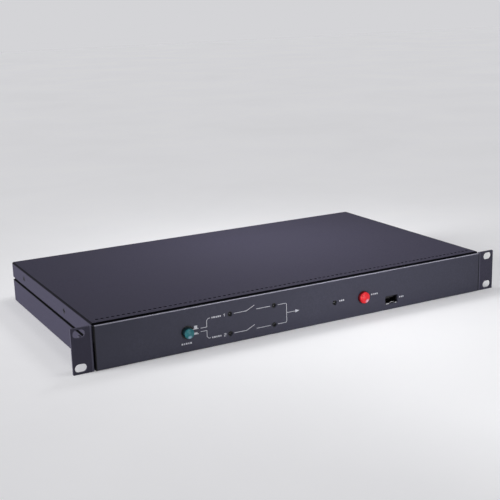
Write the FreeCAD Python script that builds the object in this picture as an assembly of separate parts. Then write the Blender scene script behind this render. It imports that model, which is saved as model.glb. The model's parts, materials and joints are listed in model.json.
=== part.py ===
import FreeCAD
import Part
import math
import os

# One rack unit static transfer switch: two mains sources come in at the rear, a pair of thyristor
# switches picks one of them, and the front carries a push button for the preferred source, a reset
# button, indicator lamps on a line diagram and a service socket.
# Millimetres. +X is to the right seen from the front, +Y goes to the rear, +Z is up.
# The origin is the middle of the underside. Depths are counted back from the faces of the rack ears.

Vector = FreeCAD.Vector
X = Vector(1, 0, 0)
Y = Vector(0, 1, 0)
Z = Vector(0, 0, 1)

# Envelope
BODY_WIDTH = 440.0
BODY_DEPTH = 254.0
BODY_HEIGHT = 44.0

# Sheet thicknesses
TRAY_SHEET = 1.2
COVER_SHEET = 1.2
EAR_SHEET = 2.0
FASCIA_SHEET = 2.0
REAR_SHEET = 1.5

# Case folds and seams
LID_CLEARANCE = 0.3
SEAM_HEIGHT = 27.5
SEAM_GAP = 2.6
WALL_SETBACK = 4.0
COVER_SETBACK = 2.5
COVER_BEND = 1.8
LIP_BEND = 0.96
TRAY_BEND = 1.5
FRONT_FLANGE_DROP = 3.5
FRONT_FLANGE_RELIEF = 0.8
LIP_HEIGHT = 5.8
LIP_SCREW_COUNT = 3

# Rack ears
EAR_REACH = 20.0
EAR_TOP_DROP = 1.2
EAR_BEND = 1.8
EAR_CORNER = 0.5
EAR_FLANGE_LENGTH = 36.0
EAR_FLANGE_EDGE = 1.5
EAR_SCREW_SHARES = (0.42, 0.78)
SLOT_INSET = 7.45
SLOT_END_INSET = 5.525
SLOT_LENGTH = 11.3
SLOT_HEIGHT = 7.8

# Fascia
FASCIA_PROUD = 1.8
FASCIA_SIDE_GAP = 0.6
FASCIA_BOTTOM = 0.4
FASCIA_TOP_DROP = 1.4
FASCIA_EDGE = 0.8
STUD_RADIUS = 1.5
STUD_LENGTH = 7.0
STUD_INSET = 22.0
NUT_HEIGHT = 2.4
NUT_RADIUS = 3.1
WINDOW_MARGIN = 0.8
PART_EDGE = 0.8
OVERCUT = 1.0

# Vent row across the front of the cover
VENT_DEPTH = 10.5
VENT_PITCH = 5.1
VENT_LENGTH = 3.3
VENT_WIDTH = 2.2
VENT_EDGE = 5.0

# Controls, placed from the middle of the fascia and from the underside of the case
CONTROL_HEIGHT = 19.4
SELECT_X = -129.6
SELECT_RADIUS = 4.9
SELECT_PROUD = 6.6
RESET_X = 67.2
RESET_RADIUS = 5.9
RESET_PROUD = 5.0
BUTTON_DOME = 1.6
BUTTON_HOLE_RADIUS = 6.6
BUTTON_TAIL = 8.0
BUTTON_TRAVEL = 3.0
BUTTON_CLEARANCE = 0.1
NOSE_RADIUS = 6.3
NOSE_RECESS = 1.0
SWITCH_SIDE = 14.0
SWITCH_LENGTH = 10.0
SWITCH_STOP_GAP = 1.0

# Indicator lamps
LAMP_LEFT_X = -85.2
LAMP_RIGHT_X = -37.4
LAMP_RISE = 9.8
LAMP_DROP = 9.6
FAULT_X = 32.5
LAMP_HOLE_RADIUS = 2.5
HOLDER_RADIUS = 2.4
HOLDER_RECESS = 1.2
LAMP_RADIUS = 1.5
LAMP_LENGTH = 4.0
LAMP_NOSE_SHARE = 0.7
LAMP_CLEARANCE = 0.05

# Service socket
SOCKET_X = 102.3
SOCKET_HEIGHT = 10.8
SOCKET_HOLE = (15.6, 8.6)
SOCKET_OUTER = (14.4, 7.4)
SOCKET_SHEET = 0.4
SOCKET_LIP = 0.4
SOCKET_RECESS = 2.2
TONGUE_WIDTH = 11.1
TONGUE_THICKNESS = 1.8
TONGUE_LENGTH = 8.6
TONGUE_RISE = 1.2
SOCKET_BACK = 3.0
SOCKET_CORNER = 0.6
SOCKET_INNER_CORNER = 0.4

# Printed line diagram on the fascia
INK = 0.1
LINE = 0.5
LINE_START = 13.4
LINE_SPLIT = 1.7
LINE_FORK = 19.8
LINE_BEND = 1.8
SOURCE_LEAD = 3.8
LAMP_MARGIN = 1.7
HINGE_REACH = 17.4
ARM = (8.8, 4.2)
CONTACT_REACH = 19.4
JOIN_REACH = 14.0
JOIN_BEND = 1.0
OUTPUT_LENGTH = 10.4
OUTPUT_TIP = (10.0, 14.4, 1.5)
DIGIT_HALF = (0.9, 1.3)
DIGIT_FLAG = 0.8
DIGIT_LINE = 0.45
DIGIT_GAP = 1.6
MARK_REACH = 8.4
MARK_FOOT = (2.9, 0.7)
MARK_POST = 1.6
MARK_HEIGHTS = ((1.7, 3.4), (-3.5, 1.9))
CAPTION_TALL = 1.5
CAPTION_RISE = 1.2
SOURCE_CAPTION = (1.2, 1.7, 1.1, 1.5, 1.2)
SOURCE_CAPTION_GAP = 5.2
SELECT_CAPTION = (1.5, 1.1, 1.8, 1.2, 1.6)
SELECT_CAPTION_PLACE = (-6.6, -10.6)
SELECT_CAPTION_TALL = 1.6
FAULT_CAPTION = (1.3, 1.7, 1.2)
FAULT_CAPTION_GAP = 5.4
RESET_CAPTION = (1.6, 1.1, 1.8, 1.3)
RESET_CAPTION_GAP = 9.4
SERVICE_CAPTION = (1.3, 1.5, 1.2)
SERVICE_CAPTION_GAP = 9.8

# Display board
DISPLAY_DEPTH = 14.0
BOARD_SHEET = 1.6
DISPLAY_LEFT = -152.0
DISPLAY_RIGHT = 122.0
DISPLAY_BOTTOM = 4.0
DISPLAY_TOP_GAP = 4.5
DISPLAY_SCREW_INSET = 6.0
SPACER_RADIUS = 2.8

# Machine screws, M3 unless named otherwise
SCREW_RADIUS = 1.5
SCREW_CLEARANCE = 0.1
TAP_CLEARANCE = 0.05
SCREW_HEAD_RADIUS = 2.8
SCREW_HEAD_HEIGHT = 1.7
SCREW_LENGTH = 6.0
FLUSH_HEAD_RADIUS = 2.5
RECESS_WIDTH = 0.7
RECESS_SPAN = 3.0
RECESS_DEPTH = 0.9
EAR_SCREW_RADIUS = 2.0
EAR_SCREW_HEAD = 3.6
EAR_SCREW_LENGTH = 7.0
COVER_SCREW_SHARES = (0.307, 0.827)

# Boards on the floor
FLOOR_SPACER_HEIGHT = 6.8
CONTROL_BOARD_WIDTH = 150.0
CONTROL_BOARD_X = 15.0
CONTROL_BOARD_SHARE = 0.376
CONTROL_FRONT_GAP = 18.4
BOARDS_GAP = 19.3
POWER_REAR_GAP = 44.0
BOARD_SIDE_GAP = 6.0
BOARD_SCREW_INSET = 5.0
RIBBON_WIDTH = 22.0
RIBBON_THICKNESS = 1.0
RIBBON_LEAD = 4.0
RIBBON_BEND = 3.0
RIBBON_RISE = 5.0
HEADER = (26.0, 8.0, 9.0)

# Parts on the power board: width, length and height. Shares are of the board's own length.
TRANSFORMER_COUNT = 2
TRANSFORMER = (38.0, 24.0)
TRANSFORMER_SHARE = 0.333
CORE_SHARE = 0.5
WINDING_SHARES = (0.62, 0.72)
RELAY_COUNT = 4
RELAY = (28.0, 13.0, 22.0)
FILM_COUNT = 4
FILM_CAPACITOR = (24.0, 11.0, 18.0)
RESERVOIR_COUNT = 3
RESERVOIR_RADIUS = 8.0
RESERVOIR_HEIGHT = 24.0
RESERVOIR_EDGE = 1.0
SENSOR_COUNT = 2
SENSOR_SHARE = 0.135
SENSOR_BORE_SHARE = 0.42
SENSOR_EDGE = 2.4
SENSOR_HEIGHT = 12.0
TERMINAL = (30.0, 12.0, 16.0)
FRONT_ROW_SHARE = 0.25
MIDDLE_ROW_SHARE = 0.604
TERMINAL_SHARE = 0.833
CHIP_SIDE = 14.0
CHIP_HEIGHT = 1.6
CHIP_COUNT = 4
CHIP_ROW_SHARE = 0.64

# Heat sink and thyristor modules
SINK_LENGTH = 118.0
SINK_BASE = 6.0
SINK_FOOT = 2.0
SINK_FOOT_RADIUS = 5.0
FIN_SHEET = 1.8
FIN_COUNT = 14
FIN_LENGTH = 62.0
FIN_TOP_GAP = 6.0
FAN_GAP = 4.0
MODULE = (38.0, 25.0, 12.0)
MODULE_LUG = 3.0
MODULE_GAP = 2.0
MODULE_SCREW_SPACING = 30.0
MODULE_TAP_DEPTH = 4.0

# Fans
FAN_CLEARANCE = 0.8
FAN_LENGTH = 20.0
FAN_BORE_WALL = 1.4
FAN_SCREW_INSET = 4.0
HUB_RADIUS = 10.0
HUB_LENGTH = 13.0
HUB_RECESS = 2.5
HUB_EDGE = 1.2
HUB_FACE = 3.0
BLADE_COUNT = 7
BLADE_PITCH = 38.0
BLADE_SHEET = 1.2
BLADE_CLEARANCE = 0.7
BLADE_END_GAP = 1.44
BLADE_ROOT_DEPTH = 1.0
BLADE_CHORD_SHARE = 1.15
MOTOR_RADIUS = 9.0
MOTOR_SHEET = 3.0
STRUT_WIDTH = 2.4
BEARING_RADIUS = 2.4
BEARING_GAP = 4.0
SHAFT_RADIUS = 1.0
SHAFT_CLEARANCE = 0.05
SHAFT_END_GAP = 0.2
GUARD_WIRE = 0.8
GUARD_RING_SHARES = (0.35, 0.62, 0.885)
WELD_DEPTH = 0.3
EYE_SHEET = 1.8
FAN_SCREW_LENGTH = 10.0

# Rear panel's foot
REAR_FOOT_LENGTH = 12.0
REAR_FOOT_SCREW_SHARE = 0.55
REAR_FOOT_SCREW_COUNT = 3

# Mains sockets at the rear. Flange widths are shares of the case's width, and each body, cavity,
# groove or core is smaller than what is round it by a margin in width and in height.
REAR_CENTRE_DROP = 1.0
SOCKET_LIP_GAP = 1.0
INLET_FLANGE_SHARE = 0.091
INLET_BODY_MARGIN = (7.6, 4.8)
INLET_CAVITY_MARGIN = (3.6, 4.0)
INLET_LENGTH = 28.0
INLET_CAVITY_DEPTH = 19.0
FLANGE_SHEET = 2.4
PIN = (8.0, 2.0)
PIN_SPACING = 13.0
PIN_RISE = 4.0
PIN_TIP_RECESS = 3.0
PIN_TAIL = 6.0
OUTLET_FLANGE_SHARE = 0.0705
OUTLET_FLANGE_DROP = 4.0
OUTLET_BODY_MARGIN = (3.4, 4.4)
OUTLET_GROOVE_MARGIN = (3.0, 3.0)
OUTLET_CORE_MARGIN = (4.2, 4.2)
OUTLET_CONTACT_SHARES = (0.118, 0.347)
OUTLET_LENGTH = 25.0
GROOVE_DEPTH = 15.0
OUTLET_COUNT = 4
LARGE_BODY_MARGIN = (6.6, 4.4)
LARGE_GROOVE_MARGIN = (3.4, 3.4)
LARGE_CORE_MARGIN = (4.4, 4.4)
LARGE_CONTACT_SHARES = (0.336, 0.146)
CONTACT_SPREAD_SHARES = (0.27, 0.2)
CUTOUT_CLEARANCE = 0.2
CORNER = 2.5
CORE_CORNER = 2.0

# Thermal breakers beside the inlets
BREAKER_WIDTH = 14.0
BREAKER_LENGTH = 28.0
BREAKER_EDGE = 1.0
NECK_RADIUS = 5.6
NECK_LENGTH = 5.0
BREAKER_NUT_SHEET = 2.6
BREAKER_NUT_RADIUS = 8.0
TRIP_RADIUS = 3.4
TRIP_PROUD = 1.6
TRIP_TRAVEL = 5.0
TRIP_GUIDE = 5.0
TRIP_CLEARANCE = 0.08
TRIP_EDGE = 0.8

# Earth stud
EARTH_WIDTH = 12.0
EARTH_HEIGHT = 12.0
EARTH_RADIUS = 2.0
EARTH_SHANK_RADIUS = 2.5
EARTH_SHANK_TAIL = 1.0
EARTH_FREE_LENGTH = 10.0
EARTH_NUT_SHEET = 3.2
EARTH_NUT_RADIUS = 4.6

# Wiring between the rear sockets and the power board
WIRE_RADIUS = 1.6
BRANCH_RADIUS = 2.4
TRUNK_RADIUS = 3.2
WIRE_LEAD = 3.0

# Places worked out from the sizes above
FRONT = -BODY_DEPTH / 2
REAR = FRONT + BODY_DEPTH
HALF = BODY_WIDTH / 2
PANEL_OUTER = REAR - COVER_SHEET
PANEL_INNER = PANEL_OUTER - REAR_SHEET
TRIP_TAIL = TRIP_TRAVEL + TRIP_GUIDE
COVER_UNDER = BODY_HEIGHT - COVER_SHEET
WALL_TOP = COVER_UNDER - LID_CLEARANCE
UPPER_OUTER = HALF - COVER_SHEET - LID_CLEARANCE
UPPER_INNER = UPPER_OUTER - TRAY_SHEET
LOWER_INNER = HALF - TRAY_SHEET
JOGGLE_TOP = SEAM_HEIGHT - SEAM_GAP
FASCIA_FRONT = FRONT - FASCIA_PROUD
FASCIA_BACK = FASCIA_FRONT + FASCIA_SHEET
BUTTON_END = FRONT + BUTTON_TAIL
FLANGE_BACK = FASCIA_BACK + TRAY_SHEET
FASCIA_TOP = BODY_HEIGHT - FASCIA_TOP_DROP
EAR_HEIGHT = BODY_HEIGHT - EAR_TOP_DROP
SLOT_RISE = EAR_HEIGHT - 2 * SLOT_END_INSET
LAMP_TOP = CONTROL_HEIGHT + LAMP_RISE
LAMP_BOTTOM = CONTROL_HEIGHT - LAMP_DROP
DISPLAY_FRONT = FRONT + DISPLAY_DEPTH
DISPLAY_BACK = DISPLAY_FRONT + BOARD_SHEET
FAN_SIDE = COVER_UNDER - TRAY_SHEET - 2 * FAN_CLEARANCE
FAN_CENTRE = TRAY_SHEET + FAN_CLEARANCE + FAN_SIDE / 2
FAN_BORE = FAN_SIDE / 2 - FAN_BORE_WALL
BOARD_UNDER = TRAY_SHEET + FLOOR_SPACER_HEIGHT
BOARD_TOP = BOARD_UNDER + BOARD_SHEET
SCREW_HOLE = SCREW_RADIUS + SCREW_CLEARANCE
TAP_HOLE = SCREW_RADIUS + TAP_CLEARANCE


def within(size, margin):
    """Width and height of what is smaller than a size by a margin."""
    return (size[0] - margin[0], size[1] - margin[1])


REAR_CENTRE = BODY_HEIGHT / 2 - REAR_CENTRE_DROP
FLANGE_HEIGHT = 2 * (COVER_UNDER - LIP_HEIGHT - SOCKET_LIP_GAP - REAR_CENTRE)
BREAKER_HEIGHT = FLANGE_HEIGHT
INLET_FLANGE = (BODY_WIDTH * INLET_FLANGE_SHARE, FLANGE_HEIGHT)
INLET_BODY = within(INLET_FLANGE, INLET_BODY_MARGIN)
INLET_CAVITY = within(INLET_BODY, INLET_CAVITY_MARGIN)
OUTLET_FLANGE = (BODY_WIDTH * OUTLET_FLANGE_SHARE, FLANGE_HEIGHT - OUTLET_FLANGE_DROP)
OUTLET_BODY = within(OUTLET_FLANGE, OUTLET_BODY_MARGIN)
OUTLET_GROOVE = within(OUTLET_BODY, OUTLET_GROOVE_MARGIN)
OUTLET_CORE = within(OUTLET_GROOVE, OUTLET_CORE_MARGIN)
LARGE_OUTLET_BODY = within(INLET_FLANGE, LARGE_BODY_MARGIN)
LARGE_OUTLET_GROOVE = within(LARGE_OUTLET_BODY, LARGE_GROOVE_MARGIN)
LARGE_OUTLET_CORE = within(LARGE_OUTLET_GROOVE, LARGE_CORE_MARGIN)
GUARD_RINGS = [FAN_BORE * share for share in GUARD_RING_SHARES]


def rear_places():
    """Middle of each item along the rear panel, evenly spaced between the side walls."""
    widths = [("fan_1", FAN_SIDE), ("fan_2", FAN_SIDE), ("earth", EARTH_WIDTH)]
    for number in (1, 2):
        widths.append((f"inlet_{number}", INLET_FLANGE[0]))
        widths.append((f"breaker_{number}", 2 * BREAKER_NUT_RADIUS))
    widths.append(("large_outlet", INLET_FLANGE[0]))
    for number in range(1, OUTLET_COUNT + 1):
        widths.append((f"outlet_{number}", OUTLET_FLANGE[0]))
    used = sum(width for _, width in widths)
    gap = (2 * UPPER_INNER - used) / (len(widths) + 1)
    places = {}
    left = -UPPER_INNER + gap
    for name, width in widths:
        places[name] = left + width / 2
        left += width + gap
    return places


PLACES = rear_places()
INLETS = ("inlet_1", "inlet_2")
BREAKERS = ("breaker_1", "breaker_2")
FANS = ("fan_1", "fan_2")
OUTLETS = tuple(f"outlet_{number}" for number in range(1, OUTLET_COUNT + 1))
FAN_ZONE_RIGHT = PLACES["fan_2"] + FAN_SIDE / 2
SINK_LEFT = PLACES["fan_1"] - FAN_SIDE / 2
SINK_REAR = PANEL_INNER - FAN_LENGTH - FAN_GAP
SINK_FRONT = SINK_REAR - SINK_LENGTH
SINK_TOP = TRAY_SHEET + SINK_FOOT + SINK_BASE
POWER_LEFT = FAN_ZONE_RIGHT + BOARD_SIDE_GAP
POWER_RIGHT = UPPER_INNER - BOARD_SIDE_GAP
BOARD_LENGTHS = PANEL_INNER - POWER_REAR_GAP - BOARDS_GAP - CONTROL_FRONT_GAP - DISPLAY_BACK
CONTROL_FRONT = DISPLAY_BACK + CONTROL_FRONT_GAP
CONTROL_LENGTH = BOARD_LENGTHS * CONTROL_BOARD_SHARE
POWER_FRONT = CONTROL_FRONT + CONTROL_LENGTH + BOARDS_GAP
POWER_REAR = PANEL_INNER - POWER_REAR_GAP
POWER_LENGTH = POWER_REAR - POWER_FRONT
FRONT_ROW = POWER_FRONT + POWER_LENGTH * FRONT_ROW_SHARE
MIDDLE_ROW = POWER_FRONT + POWER_LENGTH * MIDDLE_ROW_SHARE
TERMINAL_ROW = POWER_FRONT + POWER_LENGTH * TERMINAL_SHARE
SENSOR_RADIUS = POWER_LENGTH * SENSOR_SHARE
LIP_LEFT = FAN_ZONE_RIGHT + EARTH_WIDTH / 2
LIP_RIGHT = UPPER_OUTER - CORNER


def block(x_span, y_span, z_span):
    """Rectangular block between three pairs of limits."""
    size = Vector(x_span[1] - x_span[0], y_span[1] - y_span[0], z_span[1] - z_span[0])
    corner = Vector(x_span[0], y_span[0], z_span[0])
    return Part.makeBox(size.x, size.y, size.z, corner)


def around(centre, width):
    """Pair of limits a width apart, about a middle."""
    return (centre - width / 2, centre + width / 2)


def rod(radius, start, direction, length):
    """Round bar from a point along a direction."""
    return Part.makeCylinder(radius, length, start, direction)


def fused(shapes):
    """One solid from several that meet."""
    whole = shapes[0].multiFuse(shapes[1:]) if len(shapes) > 1 else shapes[0]
    return whole.removeSplitter()


def cut_all(body, tools):
    """Body with every tool taken out of it."""
    return body.cut(Part.makeCompound(tools))


def round_edges(shape, radius, direction, wanted):
    """Shape with its straight edges along a direction rounded, where wanted says so."""
    chosen = []
    for edge in shape.Edges:
        if not isinstance(edge.Curve, Part.Line) or len(edge.Vertexes) != 2:
            continue
        along = edge.Vertexes[1].Point - edge.Vertexes[0].Point
        if along.Length > 0 and along.normalize().cross(direction).Length < 1e-6:
            if wanted(edge.CenterOfMass):
                chosen.append(edge)
    return shape.makeFillet(radius, chosen)


def panel_block(centre_x, centre_z, size, y_span, corner):
    """Block seen from the front as a rectangle with rounded corners."""
    body = block(around(centre_x, size[0]), y_span, around(centre_z, size[1]))
    return round_edges(body, corner, Y, lambda middle: True)


def slot(centre_x, centre_z, length, height, y_span):
    """Round-ended slot running through a sheet along Y."""
    radius = height / 2
    reach = length / 2 - radius
    pieces = [block(around(centre_x, 2 * reach), y_span, around(centre_z, height))]
    for side in (-1, 1):
        start = Vector(centre_x + side * reach, y_span[0], centre_z)
        pieces.append(rod(radius, start, Y, y_span[1] - y_span[0]))
    return fused(pieces)


def hexagon(radius, start, direction, length, bore):
    """Hexagonal nut with a round bore."""
    points = []
    for corner in range(7):
        turn = math.radians(60 * corner)
        points.append(Vector(radius * math.cos(turn), radius * math.sin(turn), 0))
    body = Part.Face(Part.makePolygon(points)).extrude(Z * length)
    body = body.cut(rod(bore, Vector(0, 0, 0), Z, length))
    body.Placement = FreeCAD.Placement(start, FreeCAD.Rotation(Z, direction))
    return body


def turned_to(shape, start, direction):
    """Shape made along +Z, set at a point and pointed along a direction."""
    shape.Placement = FreeCAD.Placement(start, FreeCAD.Rotation(Z, direction))
    return shape


def cross_recess(top):
    """Cross-shaped driver recess below a height, about the Z axis."""
    span = around(0, RECESS_SPAN)
    arm = around(0, RECESS_WIDTH)
    depth = (top - RECESS_DEPTH, top + RECESS_DEPTH)
    return [block(span, arm, depth), block(arm, span, depth)]


def pan_screw(start, direction, length=SCREW_LENGTH):
    """Pan head screw. Its head seats on start, and its shank runs along direction."""
    head = Part.makeCylinder(SCREW_HEAD_RADIUS, SCREW_HEAD_HEIGHT, Vector(0, 0, 0), Z)
    rim = [edge for edge in head.Edges if abs(edge.CenterOfMass.z - SCREW_HEAD_HEIGHT) < 1e-6]
    head = head.makeFillet(SCREW_HEAD_HEIGHT / 2, rim)
    shank = rod(SCREW_RADIUS, Vector(0, 0, -length), Z, length)
    screw = cut_all(fused([head, shank]), cross_recess(SCREW_HEAD_HEIGHT))
    return turned_to(screw, start, direction * -1)


def flat_screw(start, direction, radius, head_radius, length):
    """Countersunk screw. The top of its head is flush with start."""
    taper = head_radius - radius
    head = Part.makeCone(radius, head_radius, taper, Vector(0, 0, -taper), Z)
    shank = rod(radius, Vector(0, 0, -length), Z, length - taper)
    screw = cut_all(fused([head, shank]), cross_recess(0))
    return turned_to(screw, start, direction * -1)


def countersink(start, direction, radius, head_radius, length):
    """Hole for a countersunk screw, with the screw's clearance all round."""
    taper = head_radius - radius
    wide = head_radius + SCREW_CLEARANCE
    cone = Part.makeCone(wide - taper, wide, taper, Vector(0, 0, -taper), Z)
    hole = rod(radius + SCREW_CLEARANCE, Vector(0, 0, -length), Z, length)
    return turned_to(fused([cone, hole]), start, direction * -1)


def ring(outer, bore, start, direction, length):
    """Round tube."""
    return rod(outer, start, direction, length).cut(rod(bore, start, direction, length))


def spread(count, low, high):
    """Middles of so many equal shares of a span."""
    share = (high - low) / count
    return [low + share * (number + 0.5) for number in range(count)]


def lamp_places():
    """Name, X and Z of each indicator lamp."""
    places = []
    for height in (LAMP_TOP, LAMP_BOTTOM):
        for across in (LAMP_LEFT_X, LAMP_RIGHT_X):
            places.append(("mimic", across, height))
    places.append(("fault", FAULT_X, CONTROL_HEIGHT))
    return places


def stud_places():
    """X and Z of the studs behind the fascia."""
    reach = HALF - FASCIA_SIDE_GAP - STUD_INSET
    heights = (FASCIA_TOP / 4, FASCIA_TOP * 3 / 4)
    return [(side * reach, height) for side in (-1, 1) for height in heights]


def display_screw_places():
    """X and Z of the display board's spacers."""
    low = DISPLAY_BOTTOM + DISPLAY_SCREW_INSET
    high = COVER_UNDER - DISPLAY_TOP_GAP - DISPLAY_SCREW_INSET
    across = (DISPLAY_LEFT + DISPLAY_SCREW_INSET, DISPLAY_RIGHT - DISPLAY_SCREW_INSET)
    return [(x, z) for x in across for z in (low, high)]


def cover_screw_places():
    """Y and Z of the cover's side screws."""
    height = (SEAM_HEIGHT + COVER_UNDER) / 2
    return [(FRONT + BODY_DEPTH * share, height) for share in COVER_SCREW_SHARES]


def lip_screw_places():
    """X and Z of the screws through the cover's rear lip."""
    height = COVER_UNDER - LIP_HEIGHT / 2 + SCREW_CLEARANCE
    return [(x, height) for x in spread(LIP_SCREW_COUNT, LIP_LEFT, LIP_RIGHT)]


def ear_screw_places():
    """Y and Z of the screws that hold an ear to the tray."""
    middle = (EAR_FLANGE_EDGE + JOGGLE_TOP) / 2
    return [(FRONT + EAR_FLANGE_LENGTH * share, middle) for share in EAR_SCREW_SHARES]


def sink_foot_places():
    """X and Y of the heat sink's feet."""
    across = (SINK_LEFT + SINK_FOOT_RADIUS, FAN_ZONE_RIGHT - SINK_FOOT_RADIUS)
    along = (SINK_FRONT + SINK_FOOT_RADIUS, SINK_REAR - SINK_FOOT_RADIUS)
    return [(x, y) for x in across for y in along]


def return_screw_places():
    """X and Y of the screws that hold the rear panel's foot to the floor."""
    depth = PANEL_INNER - REAR_FOOT_LENGTH * REAR_FOOT_SCREW_SHARE
    return [(x, depth) for x in spread(REAR_FOOT_SCREW_COUNT, POWER_LEFT, POWER_RIGHT)]


def board_screw_places():
    """X and Y of the spacers under the control board and the power board."""
    places = []
    control_left, control_right = around(CONTROL_BOARD_X, CONTROL_BOARD_WIDTH)
    for x in (control_left + BOARD_SCREW_INSET, control_right - BOARD_SCREW_INSET):
        for y in (BOARD_SCREW_INSET, CONTROL_LENGTH - BOARD_SCREW_INSET):
            places.append((x, CONTROL_FRONT + y))
    middle = PLACES["breaker_2"]
    for x in (POWER_LEFT + BOARD_SCREW_INSET, middle, POWER_RIGHT - BOARD_SCREW_INSET):
        for y in (POWER_FRONT + BOARD_SCREW_INSET, POWER_REAR - BOARD_SCREW_INSET):
            places.append((x, y))
    return places


def chassis_tray():
    """Floor, joggled side walls and front flange, folded from one sheet."""
    half_profile = [
        (-HALF, 0),
        (-HALF, JOGGLE_TOP),
        (-UPPER_OUTER, JOGGLE_TOP),
        (-UPPER_OUTER, WALL_TOP),
        (-UPPER_INNER, WALL_TOP),
        (-UPPER_INNER, JOGGLE_TOP - TRAY_SHEET),
        (-LOWER_INNER, JOGGLE_TOP - TRAY_SHEET),
        (-LOWER_INNER, TRAY_SHEET),
    ]
    outline = half_profile + [(-x, z) for x, z in reversed(half_profile)]
    wall_front = FRONT + WALL_SETBACK
    points = [Vector(x, wall_front, z) for x, z in outline]
    points.append(points[0])
    walls = Part.Face(Part.makePolygon(points)).extrude(Y * (PANEL_OUTER - wall_front))
    floor = block((-HALF, HALF), (FASCIA_BACK, wall_front), (0, TRAY_SHEET))
    reach = UPPER_INNER - FRONT_FLANGE_RELIEF
    flange_top = COVER_UNDER - FRONT_FLANGE_DROP
    flange = block((-reach, reach), (FASCIA_BACK, FLANGE_BACK), (0, flange_top))
    tray = fused([walls, floor, flange])

    def lower_corner(middle):
        return abs(middle.z) < 1e-6 and abs(abs(middle.x) - HALF) < 1e-6

    tray = round_edges(tray, TRAY_BEND, Y, lower_corner)
    through = (FASCIA_BACK - OVERCUT, FLANGE_BACK + OVERCUT)
    depth = through[1] - through[0]
    tools = []
    for x in (SELECT_X, RESET_X):
        start = Vector(x, through[0], CONTROL_HEIGHT)
        tools.append(rod(BUTTON_HOLE_RADIUS + WINDOW_MARGIN, start, Y, depth))
    for _, x, z in lamp_places():
        tools.append(rod(LAMP_HOLE_RADIUS + WINDOW_MARGIN, Vector(x, through[0], z), Y, depth))
    window = (SOCKET_HOLE[0] + 2 * WINDOW_MARGIN, SOCKET_HOLE[1] + 2 * WINDOW_MARGIN)
    tools.append(block(around(SOCKET_X, window[0]), through, around(SOCKET_HEIGHT, window[1])))
    for x, z in stud_places():
        tools.append(rod(STUD_RADIUS + SCREW_CLEARANCE, Vector(x, through[0], z), Y, depth))
    for side in (-1, 1):
        for y, z in cover_screw_places():
            start = Vector(side * UPPER_OUTER, y, z)
            tools.append(rod(SCREW_HOLE, start, X * -side, TRAY_SHEET + OVERCUT))
        for y, z in ear_screw_places():
            start = Vector(side * (HALF + OVERCUT), y, z)
            length = TRAY_SHEET + 2 * OVERCUT
            tools.append(rod(EAR_SCREW_RADIUS + SCREW_CLEARANCE, start, X * -side, length))
    for x, y in sink_foot_places() + return_screw_places():
        length = TRAY_SHEET + OVERCUT
        tools.append(countersink(Vector(x, y, 0), Z, SCREW_RADIUS, FLUSH_HEAD_RADIUS, length))
    return cut_all(tray, tools)


def top_cover():
    """Top, two side flanges and a rear lip, folded from one sheet, with the row of vents."""
    front = FRONT + COVER_SETBACK
    outer = block((-HALF, HALF), (front, PANEL_OUTER), (SEAM_HEIGHT, BODY_HEIGHT))
    inside = HALF - COVER_SHEET
    hollow = block((-inside, inside), (front, PANEL_OUTER), (SEAM_HEIGHT, COVER_UNDER))
    lip = block((LIP_LEFT, LIP_RIGHT), (PANEL_OUTER, REAR), (COVER_UNDER - LIP_HEIGHT, BODY_HEIGHT))
    shell = fused([outer.cut(hollow), lip])

    def top_fold(middle):
        return abs(middle.z - BODY_HEIGHT) < 1e-6 and abs(abs(middle.x) - HALF) < 1e-6

    def rear_fold(middle):
        return abs(middle.z - BODY_HEIGHT) < 1e-6 and abs(middle.y - REAR) < 1e-6

    shell = round_edges(shell, COVER_BEND, Y, top_fold)
    shell = round_edges(shell, LIP_BEND, X, rear_fold)
    tools = []
    reach = HALF - VENT_EDGE
    count = int(2 * reach / VENT_PITCH)
    first = -VENT_PITCH * (count - 1) / 2
    for number in range(count):
        tools.append(vent(first + VENT_PITCH * number))
    for side in (-1, 1):
        for y, z in cover_screw_places():
            start = Vector(side * HALF, y, z)
            length = COVER_SHEET + OVERCUT
            tools.append(countersink(start, X * -side, SCREW_RADIUS, FLUSH_HEAD_RADIUS, length))
    for x, z in lip_screw_places():
        start = Vector(x, PANEL_OUTER - OVERCUT, z)
        tools.append(rod(SCREW_HOLE, start, Y, COVER_SHEET + 2 * OVERCUT))
    return cut_all(shell, tools)


def vent(across):
    """Cutter for one round-ended vent slot in the cover's top."""
    radius = VENT_WIDTH / 2
    reach = VENT_LENGTH / 2 - radius
    depth = FRONT + VENT_DEPTH
    low = COVER_UNDER - OVERCUT
    height = COVER_SHEET + 2 * OVERCUT
    pieces = [block(around(across, 2 * reach), around(depth, VENT_WIDTH), (low, low + height))]
    for side in (-1, 1):
        pieces.append(rod(radius, Vector(across + side * reach, depth, low), Z, height))
    return fused(pieces)


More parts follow.
